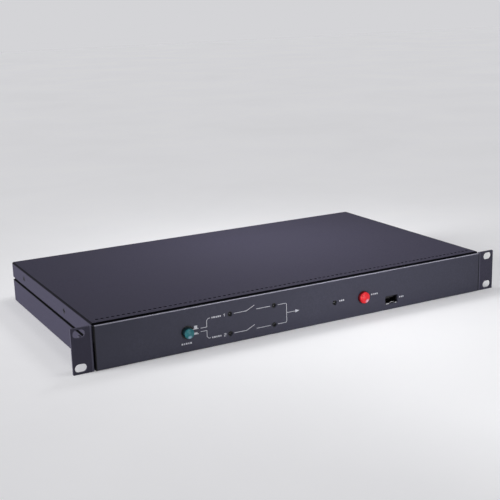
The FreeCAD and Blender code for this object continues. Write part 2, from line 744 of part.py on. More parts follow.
def rack_ear(side):
    """Angle bracket with two slots. side is -1 for the left one."""
    outer = HALF + EAR_REACH
    face = block((HALF, outer), (FRONT, FRONT + EAR_SHEET), (0, EAR_HEIGHT))
    flange_span = (EAR_FLANGE_EDGE, JOGGLE_TOP - EAR_FLANGE_EDGE)
    flange = block((HALF, HALF + EAR_SHEET), (FRONT, FRONT + EAR_FLANGE_LENGTH), flange_span)
    ear = fused([face, flange])

    def bend(middle):
        return abs(middle.x - HALF) < 1e-6 and abs(middle.y - FRONT) < 1e-6

    ear = round_edges(ear, EAR_BEND, Z, bend)
    ear = round_edges(ear, EAR_CORNER, Y, lambda middle: abs(middle.x - outer) < 1e-6)
    tools = []
    for rise in (-SLOT_RISE / 2, SLOT_RISE / 2):
        through = (FRONT - OVERCUT, FRONT + EAR_SHEET + OVERCUT)
        height = EAR_HEIGHT / 2 + rise
        tools.append(slot(outer - SLOT_INSET, height, SLOT_LENGTH, SLOT_HEIGHT, through))
    for y, z in ear_screw_places():
        start = Vector(HALF + EAR_SHEET, y, z)
        length = EAR_SHEET + OVERCUT
        tools.append(countersink(start, X * -1, EAR_SCREW_RADIUS, EAR_SCREW_HEAD, length))
    ear = cut_all(ear, tools)
    return ear if side > 0 else ear.mirror(Vector(0, 0, 0), X)


def ear_screws():
    """Four countersunk screws through the ears into the tray's walls."""
    screws = []
    for side in (-1, 1):
        for y, z in ear_screw_places():
            start = Vector(side * (HALF + EAR_SHEET), y, z)
            sizes = (EAR_SCREW_RADIUS, EAR_SCREW_HEAD, EAR_SCREW_LENGTH)
            screws.append(flat_screw(start, X * -side, *sizes))
    return Part.makeCompound(screws)


def cover_screws():
    """Four countersunk screws in the cover's sides and three pan heads in its rear lip."""
    screws = []
    for side in (-1, 1):
        for y, z in cover_screw_places():
            start = Vector(side * HALF, y, z)
            sizes = (SCREW_RADIUS, FLUSH_HEAD_RADIUS, SCREW_LENGTH)
            screws.append(flat_screw(start, X * -side, *sizes))
    for x, z in lip_screw_places():
        screws.append(pan_screw(Vector(x, REAR, z), Y * -1))
    return Part.makeCompound(screws)


def floor_screws():
    """Countersunk screws from below into the heat sink's feet and the rear panel's foot."""
    screws = []
    for x, y in sink_foot_places() + return_screw_places():
        sizes = (SCREW_RADIUS, FLUSH_HEAD_RADIUS, SCREW_LENGTH)
        screws.append(flat_screw(Vector(x, y, 0), Z, *sizes))
    return Part.makeCompound(screws)


def front_fascia():
    """Front plate with rounded front edges, openings for the controls and studs behind."""
    reach = HALF - FASCIA_SIDE_GAP
    plate = block((-reach, reach), (FASCIA_FRONT, FASCIA_BACK), (FASCIA_BOTTOM, FASCIA_TOP))

    def front_edge(middle):
        return abs(middle.y - FASCIA_FRONT) < 1e-6

    plate = round_edges(plate, FASCIA_EDGE, X, front_edge)
    studs = []
    for x, z in stud_places():
        studs.append(rod(STUD_RADIUS, Vector(x, FASCIA_BACK, z), Y, STUD_LENGTH))
    plate = fused([plate] + studs)
    through = (FASCIA_FRONT - OVERCUT, FASCIA_BACK + OVERCUT)
    depth = through[1] - through[0]
    tools = []
    for x in (SELECT_X, RESET_X):
        tools.append(rod(BUTTON_HOLE_RADIUS, Vector(x, through[0], CONTROL_HEIGHT), Y, depth))
    for _, x, z in lamp_places():
        tools.append(rod(LAMP_HOLE_RADIUS, Vector(x, through[0], z), Y, depth))
    tools.append(panel_block(SOCKET_X, SOCKET_HEIGHT, SOCKET_HOLE, through, SOCKET_CORNER))
    return cut_all(plate, tools)


def fascia_nuts():
    """Hexagonal nuts on the fascia's studs, behind the tray's front flange."""
    bore = STUD_RADIUS + TAP_CLEARANCE
    nuts = []
    for x, z in stud_places():
        nuts.append(hexagon(NUT_RADIUS, Vector(x, FLANGE_BACK, z), Y, NUT_HEIGHT, bore))
    return Part.makeCompound(nuts)


def ink_bar(start, end, width=LINE):
    """Straight printed line between two points given as X and Z."""
    along = Vector(end[0] - start[0], 0, end[1] - start[1])
    length = along.Length
    across = Vector(-along.z, 0, along.x) * (width / 2 / length)
    face_y = FASCIA_FRONT - INK
    low = Vector(start[0], face_y, start[1])
    high = Vector(end[0], face_y, end[1])
    corners = [low - across, high - across, high + across, low + across, low - across]
    return Part.Face(Part.makePolygon(corners)).extrude(Y * INK)


def ink_path(points):
    """Printed line through several points, joined into one solid."""
    pieces = [ink_bar(a, b) for a, b in zip(points, points[1:])]
    for x, z in points[1:-1]:
        pieces.append(rod(LINE / 2, Vector(x, FASCIA_FRONT - INK, z), Y, INK))
    return fused(pieces)


def ink_shape(points):
    """Printed filled shape with corners given as X and Z."""
    corners = [Vector(x, FASCIA_FRONT - INK, z) for x, z in points]
    corners.append(corners[0])
    return Part.Face(Part.makePolygon(corners)).extrude(Y * INK)


def caption(left, height, widths, tall=CAPTION_TALL):
    """Row of short printed blocks in place of a small caption."""
    blocks = []
    for width in widths:
        y_span = (FASCIA_FRONT - INK, FASCIA_FRONT)
        blocks.append(block((left, left + width), y_span, around(height, tall)))
        left += width + tall / 2
    return blocks


def digit(number, centre_x, centre_z):
    """A plain 1 or 2 drawn with straight strokes."""
    left, right = around(centre_x, 2 * DIGIT_HALF[0])
    low, high = around(centre_z, 2 * DIGIT_HALF[1])
    if number == 1:
        points = [(centre_x - DIGIT_FLAG, high - DIGIT_FLAG), (centre_x, high), (centre_x, low)]
    else:
        points = [(left, high), (right, high), (right, centre_z), (left, centre_z)]
        points += [(left, low), (right, low)]
    pieces = [ink_bar(a, b, DIGIT_LINE) for a, b in zip(points, points[1:])]
    for x, z in points[1:-1]:
        pieces.append(rod(DIGIT_LINE / 2, Vector(x, FASCIA_FRONT - INK, z), Y, INK))
    return fused(pieces)


def source_line(number, height, side):
    """One source's line: its lead from the button, its caption and number, and its open switch."""
    gap = LAMP_HOLE_RADIUS + LAMP_MARGIN
    fork_x = SELECT_X + LINE_FORK
    start_z = CONTROL_HEIGHT + side * LINE_SPLIT
    lead = [(SELECT_X + LINE_START, start_z), (fork_x, start_z), (fork_x, height - side * LINE_BEND)]
    lead += [(fork_x + LINE_BEND, height), (fork_x + SOURCE_LEAD, height)]
    hinge_x = LAMP_LEFT_X + HINGE_REACH
    arm = [(LAMP_LEFT_X + gap, height), (hinge_x, height), (hinge_x + ARM[0], height + ARM[1])]
    pieces = [ink_path(lead), ink_path(arm)]
    pieces.append(ink_bar((LAMP_RIGHT_X - CONTACT_REACH, height), (LAMP_RIGHT_X - gap, height)))
    pieces.append(digit(number, LAMP_LEFT_X - gap - DIGIT_GAP, height))
    return pieces + caption(fork_x + SOURCE_CAPTION_GAP, height, SOURCE_CAPTION)


def output_line():
    """The line that joins both switches, with an arrow to the output."""
    gap = LAMP_HOLE_RADIUS + LAMP_MARGIN
    join_x = LAMP_RIGHT_X + JOIN_REACH
    bend_x = join_x - JOIN_BEND
    path = [(LAMP_RIGHT_X + gap, LAMP_TOP), (bend_x, LAMP_TOP), (join_x, LAMP_TOP - JOIN_BEND)]
    path += [(join_x, LAMP_BOTTOM + JOIN_BEND), (bend_x, LAMP_BOTTOM)]
    path.append((LAMP_RIGHT_X + gap, LAMP_BOTTOM))
    arrow = ink_bar((join_x, CONTROL_HEIGHT), (join_x + OUTPUT_LENGTH, CONTROL_HEIGHT))
    base, point, half = OUTPUT_TIP
    tip = [(join_x + base, CONTROL_HEIGHT - half), (join_x + point, CONTROL_HEIGHT)]
    tip.append((join_x + base, CONTROL_HEIGHT + half))
    return fused([ink_path(path), arrow, ink_shape(tip)])


def source_mark(low, tall):
    """Small mark beside the button: a post on a foot."""
    middle = SELECT_X + MARK_REACH
    foot, step = MARK_FOOT
    points = [(middle - foot, low), (middle + foot, low), (middle + foot, low + step)]
    points += [(middle + MARK_POST, low + step), (middle + MARK_POST, low + tall)]
    points += [(middle - MARK_POST, low + tall), (middle - MARK_POST, low + step)]
    return ink_shape(points + [(middle - foot, low + step)])


def fascia_print():
    """Line diagram of two sources, their switches and the output, with plain captions."""
    pieces = source_line(1, LAMP_TOP, 1) + source_line(2, LAMP_BOTTOM, -1)
    pieces.append(output_line())
    for rise, tall in MARK_HEIGHTS:
        pieces.append(source_mark(CONTROL_HEIGHT + rise, tall))
    across, rise = SELECT_CAPTION_PLACE
    left = SELECT_X + across
    pieces += caption(left, CONTROL_HEIGHT + rise, SELECT_CAPTION, SELECT_CAPTION_TALL)
    height = CONTROL_HEIGHT + CAPTION_RISE
    pieces += caption(FAULT_X + FAULT_CAPTION_GAP, height, FAULT_CAPTION)
    pieces += caption(RESET_X + RESET_CAPTION_GAP, height, RESET_CAPTION)
    left = SOCKET_X + SERVICE_CAPTION_GAP
    pieces += caption(left, SOCKET_HEIGHT + CAPTION_RISE, SERVICE_CAPTION)
    return Part.makeCompound(pieces)


def push_button(across, radius, proud):
    """Round cap with a domed edge, standing proud of the fascia."""
    start = Vector(across, FASCIA_FRONT - proud, CONTROL_HEIGHT)
    cap = rod(radius, start, Y, BUTTON_END - start.y)
    rim = [edge for edge in cap.Edges if abs(edge.CenterOfMass.y - start.y) < 1e-6]
    return cap.makeFillet(BUTTON_DOME, rim)


def push_switch(across, radius):
    """Switch body with a round nose that guides the button's cap."""
    back = DISPLAY_FRONT
    front = back - SWITCH_LENGTH
    body = block(around(across, SWITCH_SIDE), (front, back), around(CONTROL_HEIGHT, SWITCH_SIDE))
    body = round_edges(body, PART_EDGE, Y, lambda middle: True)
    nose_front = FASCIA_FRONT + NOSE_RECESS
    start = Vector(across, nose_front, CONTROL_HEIGHT)
    nose = rod(NOSE_RADIUS, start, Y, front - nose_front)
    depth = BUTTON_END + BUTTON_TRAVEL + SWITCH_STOP_GAP - nose_front
    bore = rod(radius + BUTTON_CLEARANCE, start, Y, depth)
    return fused([body, nose]).cut(bore)


def lamp_holders():
    """Black tubes that carry the lamps from the display board up into the fascia's holes."""
    holders = []
    for _, x, z in lamp_places():
        start = Vector(x, FASCIA_FRONT + HOLDER_RECESS, z)
        length = DISPLAY_FRONT - start.y
        holders.append(ring(HOLDER_RADIUS, LAMP_RADIUS + LAMP_CLEARANCE, start, Y, length))
    return Part.makeCompound(holders)


def lamps(kind):
    """Round-nosed lamps of one kind, set in their holders."""
    made = []
    for name, x, z in lamp_places():
        if name == kind:
            nose = HOLDER_RECESS + LAMP_RADIUS * LAMP_NOSE_SHARE
            centre = Vector(x, FASCIA_FRONT + nose, z)
            dome = Part.makeSphere(LAMP_RADIUS, centre)
            made.append(fused([dome, rod(LAMP_RADIUS, centre, Y, LAMP_LENGTH)]))
    return Part.makeCompound(made)


def socket_shell():
    """Folded metal shell of the service socket, with a lip round its mouth."""
    front = FASCIA_FRONT + SOCKET_RECESS
    span = (front, DISPLAY_FRONT)
    inner = (SOCKET_OUTER[0] - 2 * SOCKET_SHEET, SOCKET_OUTER[1] - 2 * SOCKET_SHEET)
    wall = panel_block(SOCKET_X, SOCKET_HEIGHT, SOCKET_OUTER, span, SOCKET_CORNER)
    lip_size = (SOCKET_OUTER[0] + 2 * SOCKET_LIP, SOCKET_OUTER[1] + 2 * SOCKET_LIP)
    lip_span = (front, front + SOCKET_LIP)
    lip = panel_block(SOCKET_X, SOCKET_HEIGHT, lip_size, lip_span, SOCKET_CORNER)
    hollow = panel_block(SOCKET_X, SOCKET_HEIGHT, inner, span, SOCKET_INNER_CORNER)
    return fused([wall, lip]).cut(hollow)


def socket_tongue():
    """Insulating block at the back of the service socket, with its contact tongue."""
    inner = (SOCKET_OUTER[0] - 2 * SOCKET_SHEET, SOCKET_OUTER[1] - 2 * SOCKET_SHEET)
    back_front = DISPLAY_FRONT - SOCKET_BACK
    back_span = (back_front, DISPLAY_FRONT)
    back = panel_block(SOCKET_X, SOCKET_HEIGHT, inner, back_span, SOCKET_INNER_CORNER)
    low = SOCKET_HEIGHT + TONGUE_RISE
    tongue = block(
        around(SOCKET_X, TONGUE_WIDTH),
        (back_front - TONGUE_LENGTH, back_front),
        (low, low + TONGUE_THICKNESS),
    )
    return fused([back, tongue])


def display_board():
    """Circuit board behind the fascia that carries the switches, lamps and service socket."""
    top = COVER_UNDER - DISPLAY_TOP_GAP
    span = (DISPLAY_FRONT, DISPLAY_BACK)
    board = block((DISPLAY_LEFT, DISPLAY_RIGHT), span, (DISPLAY_BOTTOM, top))
    tools = []
    for x, z in display_screw_places():
        start = Vector(x, DISPLAY_FRONT - OVERCUT, z)
        tools.append(rod(SCREW_HOLE, start, Y, BOARD_SHEET + 2 * OVERCUT))
    return cut_all(board, tools)


def display_spacers():
    """Threaded spacers between the tray's front flange and the display board."""
    spacers = []
    for x, z in display_screw_places():
        start = Vector(x, FLANGE_BACK, z)
        length = DISPLAY_FRONT - FLANGE_BACK
        spacers.append(ring(SPACER_RADIUS, TAP_HOLE, start, Y, length))
    return Part.makeCompound(spacers)


def board_screws():
    """Pan head screws of all three circuit boards."""
    screws = []
    for x, z in display_screw_places():
        screws.append(pan_screw(Vector(x, DISPLAY_BACK, z), Y * -1))
    for x, y in board_screw_places():
        screws.append(pan_screw(Vector(x, y, BOARD_TOP), Z * -1))
    return Part.makeCompound(screws)


def floor_spacers():
    """Threaded spacers pressed into the floor under the control and power boards."""
    spacers = []
    for x, y in board_screw_places():
        start = Vector(x, y, TRAY_SHEET)
        spacers.append(ring(SPACER_RADIUS, TAP_HOLE, start, Z, FLOOR_SPACER_HEIGHT))
    return Part.makeCompound(spacers)


def flat_board(x_span, y_span):
    """Circuit board lying on the floor spacers, with its screw holes."""
    board = block(x_span, y_span, (BOARD_UNDER, BOARD_TOP))
    tools = []
    for x, y in board_screw_places():
        start = Vector(x, y, BOARD_UNDER - OVERCUT)
        tools.append(rod(SCREW_HOLE, start, Z, BOARD_SHEET + 2 * OVERCUT))
    return cut_all(board, tools)


def on_board(x, y, size):
    """Rectangular part standing on the power or control board."""
    body = block(around(x, size[0]), around(y, size[1]), (BOARD_TOP, BOARD_TOP + size[2]))
    return round_edges(body, PART_EDGE, Z, lambda middle: True)


def ribbon_places():
    """Height of the display header and Y of the control header."""
    return DISPLAY_BOTTOM + HEADER[1], CONTROL_FRONT + BOARD_SCREW_INSET + HEADER[1]


def headers():
    """Plug blocks for the ribbon cable on the display board and the control board."""
    height, depth = ribbon_places()
    front = block(
        around(CONTROL_BOARD_X, HEADER[0]),
        (DISPLAY_BACK, DISPLAY_BACK + HEADER[2]),
        around(height, HEADER[1]),
    )
    return Part.makeCompound([front, on_board(CONTROL_BOARD_X, depth, HEADER)])


def ribbon_cable():
    """Flat cable that leaves the display header to the rear and drops onto the control header."""
    height, depth = ribbon_places()
    start = Vector(CONTROL_BOARD_X, DISPLAY_BACK + HEADER[2], height)
    top = BOARD_TOP + HEADER[2]
    crown = top + RIBBON_RISE
    lead = start.y + RIBBON_LEAD
    path = [start, Vector(start.x, lead, height), Vector(start.x, lead + RIBBON_BEND, crown)]
    path += [Vector(start.x, depth, crown), Vector(start.x, depth, top)]
    half = RIBBON_THICKNESS / 2
    pieces = []
    for low, high in zip(path, path[1:]):
        along = high - low
        across = Vector(0, -along.z, along.y) * (half / along.Length)
        corners = [low - across, high - across, high + across, low + across, low - across]
        corners = [corner - X * (RIBBON_WIDTH / 2) for corner in corners]
        pieces.append(Part.Face(Part.makePolygon(corners)).extrude(X * RIBBON_WIDTH))
    for corner in path[1:-1]:
        pieces.append(rod(half, corner - X * (RIBBON_WIDTH / 2), X, RIBBON_WIDTH))
    return fused(pieces)


def control_chips():
    """Processor and driver chips on the control board."""
    chips = []
    left, right = around(CONTROL_BOARD_X, CONTROL_BOARD_WIDTH)
    depth = CONTROL_FRONT + CONTROL_LENGTH * CHIP_ROW_SHARE
    for x in spread(CHIP_COUNT, left + BOARD_SCREW_INSET, right - BOARD_SCREW_INSET):
        chips.append(on_board(x, depth, (CHIP_SIDE, CHIP_SIDE, CHIP_HEIGHT)))
    return Part.makeCompound(chips)


def board_row(count):
    """X of so many parts spread along the power board."""
    return spread(count, POWER_LEFT + BOARD_SCREW_INSET, POWER_RIGHT - BOARD_SCREW_INSET)


def front_row():
    """X of the transformers, and X of the relays beside them."""
    places = board_row(TRANSFORMER_COUNT + RELAY_COUNT)
    return places[:TRANSFORMER_COUNT], places[TRANSFORMER_COUNT:]


def middle_row():
    """X of the sensors, of the film capacitors and of the reservoir capacitors."""
    places = board_row(SENSOR_COUNT + FILM_COUNT + RESERVOIR_COUNT)
    films_end = SENSOR_COUNT + FILM_COUNT
    return places[:SENSOR_COUNT], places[SENSOR_COUNT:films_end], places[films_end:]


def control_transformers():
    """Two small mains transformers of the control supply: a winding in a laminated core."""
    width, height = TRANSFORMER
    length = POWER_LENGTH * TRANSFORMER_SHARE
    winding_size = (width * WINDING_SHARES[0], length, height * WINDING_SHARES[1])
    made = []
    for x in front_row()[0]:
        core = on_board(x, FRONT_ROW, (width, length * CORE_SHARE, height))
        made.append(fused([core, on_board(x, FRONT_ROW, winding_size)]))
    return Part.makeCompound(made)


def relays():
    """Isolating relays, one pair for each source."""
    return Part.makeCompound([on_board(x, FRONT_ROW, RELAY) for x in front_row()[1]])


def current_sensors():
    """Ring core current sensors lying on the power board, one for each source."""
    top = BOARD_TOP + SENSOR_HEIGHT
    made = []
    for x in middle_row()[0]:
        centre = Vector(x, MIDDLE_ROW, BOARD_TOP)
        core = ring(SENSOR_RADIUS, SENSOR_RADIUS * SENSOR_BORE_SHARE, centre, Z, SENSOR_HEIGHT)
        rims = [edge for edge in core.Edges if abs(edge.CenterOfMass.z - top) < 1e-6]
        made.append(core.makeFillet(SENSOR_EDGE, rims))
    return Part.makeCompound(made)


def film_capacitors():
    """Boxed film capacitors across the mains lines."""
    return Part.makeCompound([on_board(x, MIDDLE_ROW, FILM_CAPACITOR) for x in middle_row()[1]])


def reservoir_capacitors():
    """Round electrolytic capacitors of the control supply."""
    top = BOARD_TOP + RESERVOIR_HEIGHT
    cans = []
    for x in middle_row()[2]:
        can = rod(RESERVOIR_RADIUS, Vector(x, MIDDLE_ROW, BOARD_TOP), Z, RESERVOIR_HEIGHT)
        rim = [edge for edge in can.Edges if abs(edge.CenterOfMass.z - top) < 1e-6]
        cans.append(can.makeFillet(RESERVOIR_EDGE, rim))
    return Part.makeCompound(cans)


def terminal_blocks():
    """Screw terminals near the rear edge of the power board, for both sources and the output."""
    names = INLETS + ("large_outlet",)
    return Part.makeCompound([on_board(PLACES[name], TERMINAL_ROW, TERMINAL) for name in names])


def wiring():
    """Wires from each inlet to its terminal, and the trunk that feeds the outlets."""
    rear_of_block = TERMINAL_ROW + TERMINAL[1] / 2
    height = BOARD_TOP + TERMINAL[2] / 2
    bodies = []
    for name in INLETS:
        for pin_x, pin_z in pin_places(PLACES[name]):
            start = Vector(pin_x, rear_of_block, height)
            end = Vector(pin_x, PANEL_OUTER - INLET_LENGTH - PIN_TAIL, pin_z)
            bodies.append(bent_wire(start, end))
    outlet_back = PANEL_OUTER - OUTLET_LENGTH
    trunk_y = outlet_back - TRUNK_RADIUS * 2
    left = PLACES["large_outlet"]
    trunk_start = Vector(left - TRUNK_RADIUS, trunk_y, height)
    length = PLACES[OUTLETS[-1]] + TRUNK_RADIUS * 2 - left
    feed = Vector(left, rear_of_block, height)
    trunk = [rod(TRUNK_RADIUS, trunk_start, X, length)]
    trunk.append(rod(BRANCH_RADIUS, feed, Y, trunk_y - rear_of_block))
    for name in ("large_outlet",) + OUTLETS:
        start = Vector(PLACES[name], trunk_y, height)
        trunk.append(rod(WIRE_RADIUS, start, Y, outlet_back - trunk_y))
    bodies.append(fused(trunk))
    return Part.makeCompound(bodies)


def bent_wire(start, end):
    """Wire that leaves and arrives along Y, with an even double bend in between."""
    rise = end.z - start.z
    run = end.y - start.y
    if abs(rise) < 1e-6:
        return rod(WIRE_RADIUS, start, Y, run)
    straight = min(WIRE_LEAD, run / 4)
    low = Vector(start.x, start.y + straight, start.z)
    high = Vector(start.x, end.y - straight, end.z)
    middle = (low + high) * 0.5
    half_run = middle.y - low.y
    half_rise = middle.z - low.z
    radius = (half_run ** 2 + half_rise ** 2) / (2 * abs(half_rise))
    bend = math.asin(min(1.0, half_run / radius))
    sign = 1 if rise > 0 else -1
    first = arc_point(low, radius, bend / 2, sign)
    second = Vector(high.x, high.y - (first.y - low.y), high.z - (first.z - low.z))
    edges = [
        Part.LineSegment(start, low).toShape(),
        Part.Arc(low, first, middle).toShape(),
        Part.Arc(middle, second, high).toShape(),
        Part.LineSegment(high, end).toShape(),
    ]
    section = Part.Wire(Part.makeCircle(WIRE_RADIUS, start, Y))
    return Part.Wire(edges).makePipeShell([section], True, False)


def arc_point(low, radius, turn, sign):
    """Point on an arc that leaves low along +Y and curves up or down."""
    return Vector(low.x, low.y + radius * math.sin(turn), low.z + sign * radius * (1 - math.cos(turn)))


def heat_sink():
    """Extruded sink: a base on four feet, fins towards the fans and a flat for the modules."""
    base_low = TRAY_SHEET + SINK_FOOT
    base = block((SINK_LEFT, FAN_ZONE_RIGHT), (SINK_FRONT, SINK_REAR), (base_low, SINK_TOP))
    pieces = [base]
    top = COVER_UNDER - FIN_TOP_GAP
    span = (SINK_REAR - FIN_LENGTH, SINK_REAR)
    pitch = (FAN_ZONE_RIGHT - SINK_LEFT - FIN_SHEET) / (FIN_COUNT - 1)
    for number in range(FIN_COUNT):
        left = SINK_LEFT + pitch * number
        pieces.append(block((left, left + FIN_SHEET), span, (base_low, top)))
    for x, y in sink_foot_places():
        pieces.append(rod(SINK_FOOT_RADIUS, Vector(x, y, TRAY_SHEET), Z, SINK_FOOT))
    sink = fused(pieces)
    tools = []
    for x, y in sink_foot_places():
        tools.append(rod(TAP_HOLE, Vector(x, y, TRAY_SHEET), Z, SCREW_LENGTH))
    for x, y in module_screw_places():
        start = Vector(x, y, SINK_TOP - MODULE_TAP_DEPTH)
        tools.append(rod(TAP_HOLE, start, Z, MODULE_TAP_DEPTH + OVERCUT))
    return cut_all(sink, tools)


def module_places():
    """X and Y of the four thyristor modules on the heat sink."""
    middle = (SINK_LEFT + FAN_ZONE_RIGHT) / 2
    across = (MODULE[0] + MODULE_GAP) / 2
    first = SINK_FRONT + MODULE_GAP / 2 + MODULE[1] / 2
    rows = (first, first + MODULE[1] + MODULE_GAP)
    return [(middle + side * across, y) for y in rows for side in (-1, 1)]


def module_screw_places():
    """X and Y of the screws that clamp the modules."""
    places = []
    for x, y in module_places():
        for side in (-1, 1):
            places.append((x + side * MODULE_SCREW_SPACING / 2, y))
    return places


def thyristor_modules():
    """Four thyristor modules: a thin base with two screw lugs under a moulded block."""
    made = []
    core_width = MODULE_SCREW_SPACING - 2 * SCREW_HEAD_RADIUS - 2 * SCREW_CLEARANCE
    for x, y in module_places():
        base = block(around(x, MODULE[0]), around(y, MODULE[1]), (SINK_TOP, SINK_TOP + MODULE_LUG))
        core = block(around(x, core_width), around(y, MODULE[1]), (SINK_TOP, SINK_TOP + MODULE[2]))
        tools = []
        for side in (-1, 1):
            start = Vector(x + side * MODULE_SCREW_SPACING / 2, y, SINK_TOP - OVERCUT)
            tools.append(rod(SCREW_HOLE, start, Z, MODULE_LUG + 2 * OVERCUT))
        made.append(cut_all(fused([base, core]), tools))
    return Part.makeCompound(made)


def module_screws():
    """Pan head screws that clamp the thyristor modules to the heat sink."""
    screws = []
    for x, y in module_screw_places():
        screws.append(pan_screw(Vector(x, y, SINK_TOP + MODULE_LUG), Z * -1))
    return Part.makeCompound(screws)


def rear_panel():
    """Rear plate with a folded foot and the openings for fans, inlets, breakers and outlets."""
    reach = UPPER_INNER - CUTOUT_CLEARANCE
    plate = block((-reach, reach), (PANEL_INNER, PANEL_OUTER), (TRAY_SHEET, WALL_TOP))
    foot_depth = (PANEL_INNER - REAR_FOOT_LENGTH, PANEL_INNER)
    foot = block((POWER_LEFT, POWER_RIGHT), foot_depth, (TRAY_SHEET, TRAY_SHEET + REAR_SHEET))
    panel = fused([plate, foot])
    through = (PANEL_INNER - OVERCUT, PANEL_OUTER + OVERCUT)
    depth = through[1] - through[0]
    tools = []
    for name in FANS:
        tools.append(rod(FAN_BORE, Vector(PLACES[name], through[0], FAN_CENTRE), Y, depth))
        for x, z in fan_screw_places(PLACES[name]):
            tools.append(rod(SCREW_HOLE, Vector(x, through[0], z), Y, depth))
    sizes = {name: INLET_BODY for name in INLETS}
    sizes.update({name: OUTLET_BODY for name in OUTLETS})
    sizes["large_outlet"] = LARGE_OUTLET_BODY
    shrink = (-2 * CUTOUT_CLEARANCE, -2 * CUTOUT_CLEARANCE)
    for name, size in sizes.items():
        hole = within(size, shrink)
        tools.append(panel_block(PLACES[name], REAR_CENTRE, hole, through, CORNER))
    for name in BREAKERS:
        start = Vector(PLACES[name], through[0], REAR_CENTRE)
        tools.append(rod(NECK_RADIUS + SCREW_CLEARANCE, start, Y, depth))
    start = Vector(PLACES["earth"], through[0], EARTH_HEIGHT)
    tools.append(rod(EARTH_SHANK_RADIUS + SCREW_CLEARANCE, start, Y, depth))
    for x, z in lip_screw_places():
        tools.append(rod(SCREW_HOLE, Vector(x, through[0], z), Y, depth))
    for x, y in return_screw_places():
        start = Vector(x, y, TRAY_SHEET - OVERCUT)
        tools.append(rod(TAP_HOLE, start, Z, REAR_SHEET + 2 * OVERCUT))
    return cut_all(panel, tools)


def fan_screw_places(centre_x):
    """X and Z of a fan's four screws."""
    reach = FAN_SIDE / 2 - FAN_SCREW_INSET
    return [(centre_x + a * reach, FAN_CENTRE + b * reach) for a in (-1, 1) for b in (-1, 1)]


def fan_frame(centre_x):
    """Square fan frame with a motor plate on struts and the bearing tube."""
    front = PANEL_INNER - FAN_LENGTH
    body = panel_block(centre_x, FAN_CENTRE, (FAN_SIDE, FAN_SIDE), (front, PANEL_INNER), CORNER)
    centre = Vector(centre_x, front, FAN_CENTRE)
    tools = [rod(FAN_BORE, centre, Y, FAN_LENGTH)]
    for x, z in fan_screw_places(centre_x):
        tools.append(rod(TAP_HOLE, Vector(x, front, z), Y, FAN_LENGTH))
    body = cut_all(body, tools)
    pieces = [body, rod(MOTOR_RADIUS, centre, Y, MOTOR_SHEET)]
    reach = (-FAN_BORE - FAN_BORE_WALL / 2, FAN_BORE + FAN_BORE_WALL / 2)
    width = (-STRUT_WIDTH / 2, STRUT_WIDTH / 2)
    spans = ((reach, width), (width, reach))
    for x_span, z_span in spans:
        x_limits = (centre_x + x_span[0], centre_x + x_span[1])
        z_limits = (FAN_CENTRE + z_span[0], FAN_CENTRE + z_span[1])
        pieces.append(block(x_limits, (front, front + MOTOR_SHEET), z_limits))
    tube = FAN_LENGTH - HUB_RECESS - BEARING_GAP
    pieces.append(rod(BEARING_RADIUS, centre, Y, tube))
    bore = rod(SHAFT_RADIUS + SHAFT_CLEARANCE, centre + Y * MOTOR_SHEET / 2, Y, FAN_LENGTH)
    return fused(pieces).cut(bore)


def fan_rotor(centre_x):
    """Hub with a shaft in the bearing tube and seven pitched blades."""
    back = PANEL_INNER - HUB_RECESS
    front = back - HUB_LENGTH
    axis = Vector(centre_x, front, FAN_CENTRE)
    hub = rod(HUB_RADIUS, axis, Y, HUB_LENGTH)
    rim = [edge for edge in hub.Edges if abs(edge.CenterOfMass.y - back) < 1e-6]
    hub = hub.makeFillet(HUB_EDGE, rim)
    well = HUB_LENGTH - HUB_FACE
    hub = hub.cut(rod(BEARING_RADIUS + BLADE_CLEARANCE, axis, Y, well))
    tip = FAN_BORE - BLADE_CLEARANCE
    middle = Vector(centre_x, (front + back) / 2, FAN_CENTRE)
    root = HUB_RADIUS - BLADE_ROOT_DEPTH
    start = Vector(centre_x, front + BLADE_END_GAP, FAN_CENTRE)
    envelope = ring(tip, root, start, Y, HUB_LENGTH - 2 * BLADE_END_GAP)
    blades = []
    for number in range(BLADE_COUNT):
        chord = HUB_LENGTH * BLADE_CHORD_SHARE
        blade = block(around(0, BLADE_SHEET), around(0, chord), (root, tip + OVERCUT))
        blade.rotate(Vector(0, 0, 0), Z, BLADE_PITCH)
        blade.rotate(Vector(0, 0, 0), Y, 360.0 * number / BLADE_COUNT)
        blade.translate(middle)
        blades.append(blade.common(envelope))
    shaft_start = Vector(centre_x, PANEL_INNER - FAN_LENGTH + MOTOR_SHEET / 2 + SHAFT_END_GAP, FAN_CENTRE)
    shaft = rod(SHAFT_RADIUS, shaft_start, Y, front + well + HUB_FACE / 2 - shaft_start.y)
    return fused([hub, shaft] + blades)


def fan_guard(centre_x):
    """Wire finger guard: three rings welded on a cross of legs that end in flattened eyes."""
    centre = Vector(centre_x, PANEL_OUTER + EYE_SHEET / 2, FAN_CENTRE)
    rings_centre = centre + Y * (2 * GUARD_WIRE - WELD_DEPTH)
    pieces = [Part.makeTorus(radius, GUARD_WIRE, rings_centre, Y) for radius in GUARD_RINGS]
    eye = SCREW_HOLE + 2 * GUARD_WIRE
    for x, z in fan_screw_places(centre_x):
        out = Vector(x - centre_x, 0, z - FAN_CENTRE)
        reach = out.Length
        out.normalize()
        inner = GUARD_RINGS[0] - GUARD_WIRE / 2
        length = reach - SCREW_HOLE - GUARD_WIRE - inner
        pieces.append(rod(GUARD_WIRE, centre + out * inner, out, length))
        pieces.append(ring(eye, SCREW_HOLE, Vector(x, PANEL_OUTER, z), Y, EYE_SHEET))
    return fused(pieces)


def fan_screws():
    """Screws that clamp the guards and fans to the rear panel."""
    screws = []
    for name in FANS:
        for x, z in fan_screw_places(PLACES[name]):
            head = Vector(x, PANEL_OUTER + EYE_SHEET, z)
            screws.append(pan_screw(head, Y * -1, FAN_SCREW_LENGTH))
    return Part.makeCompound(screws)


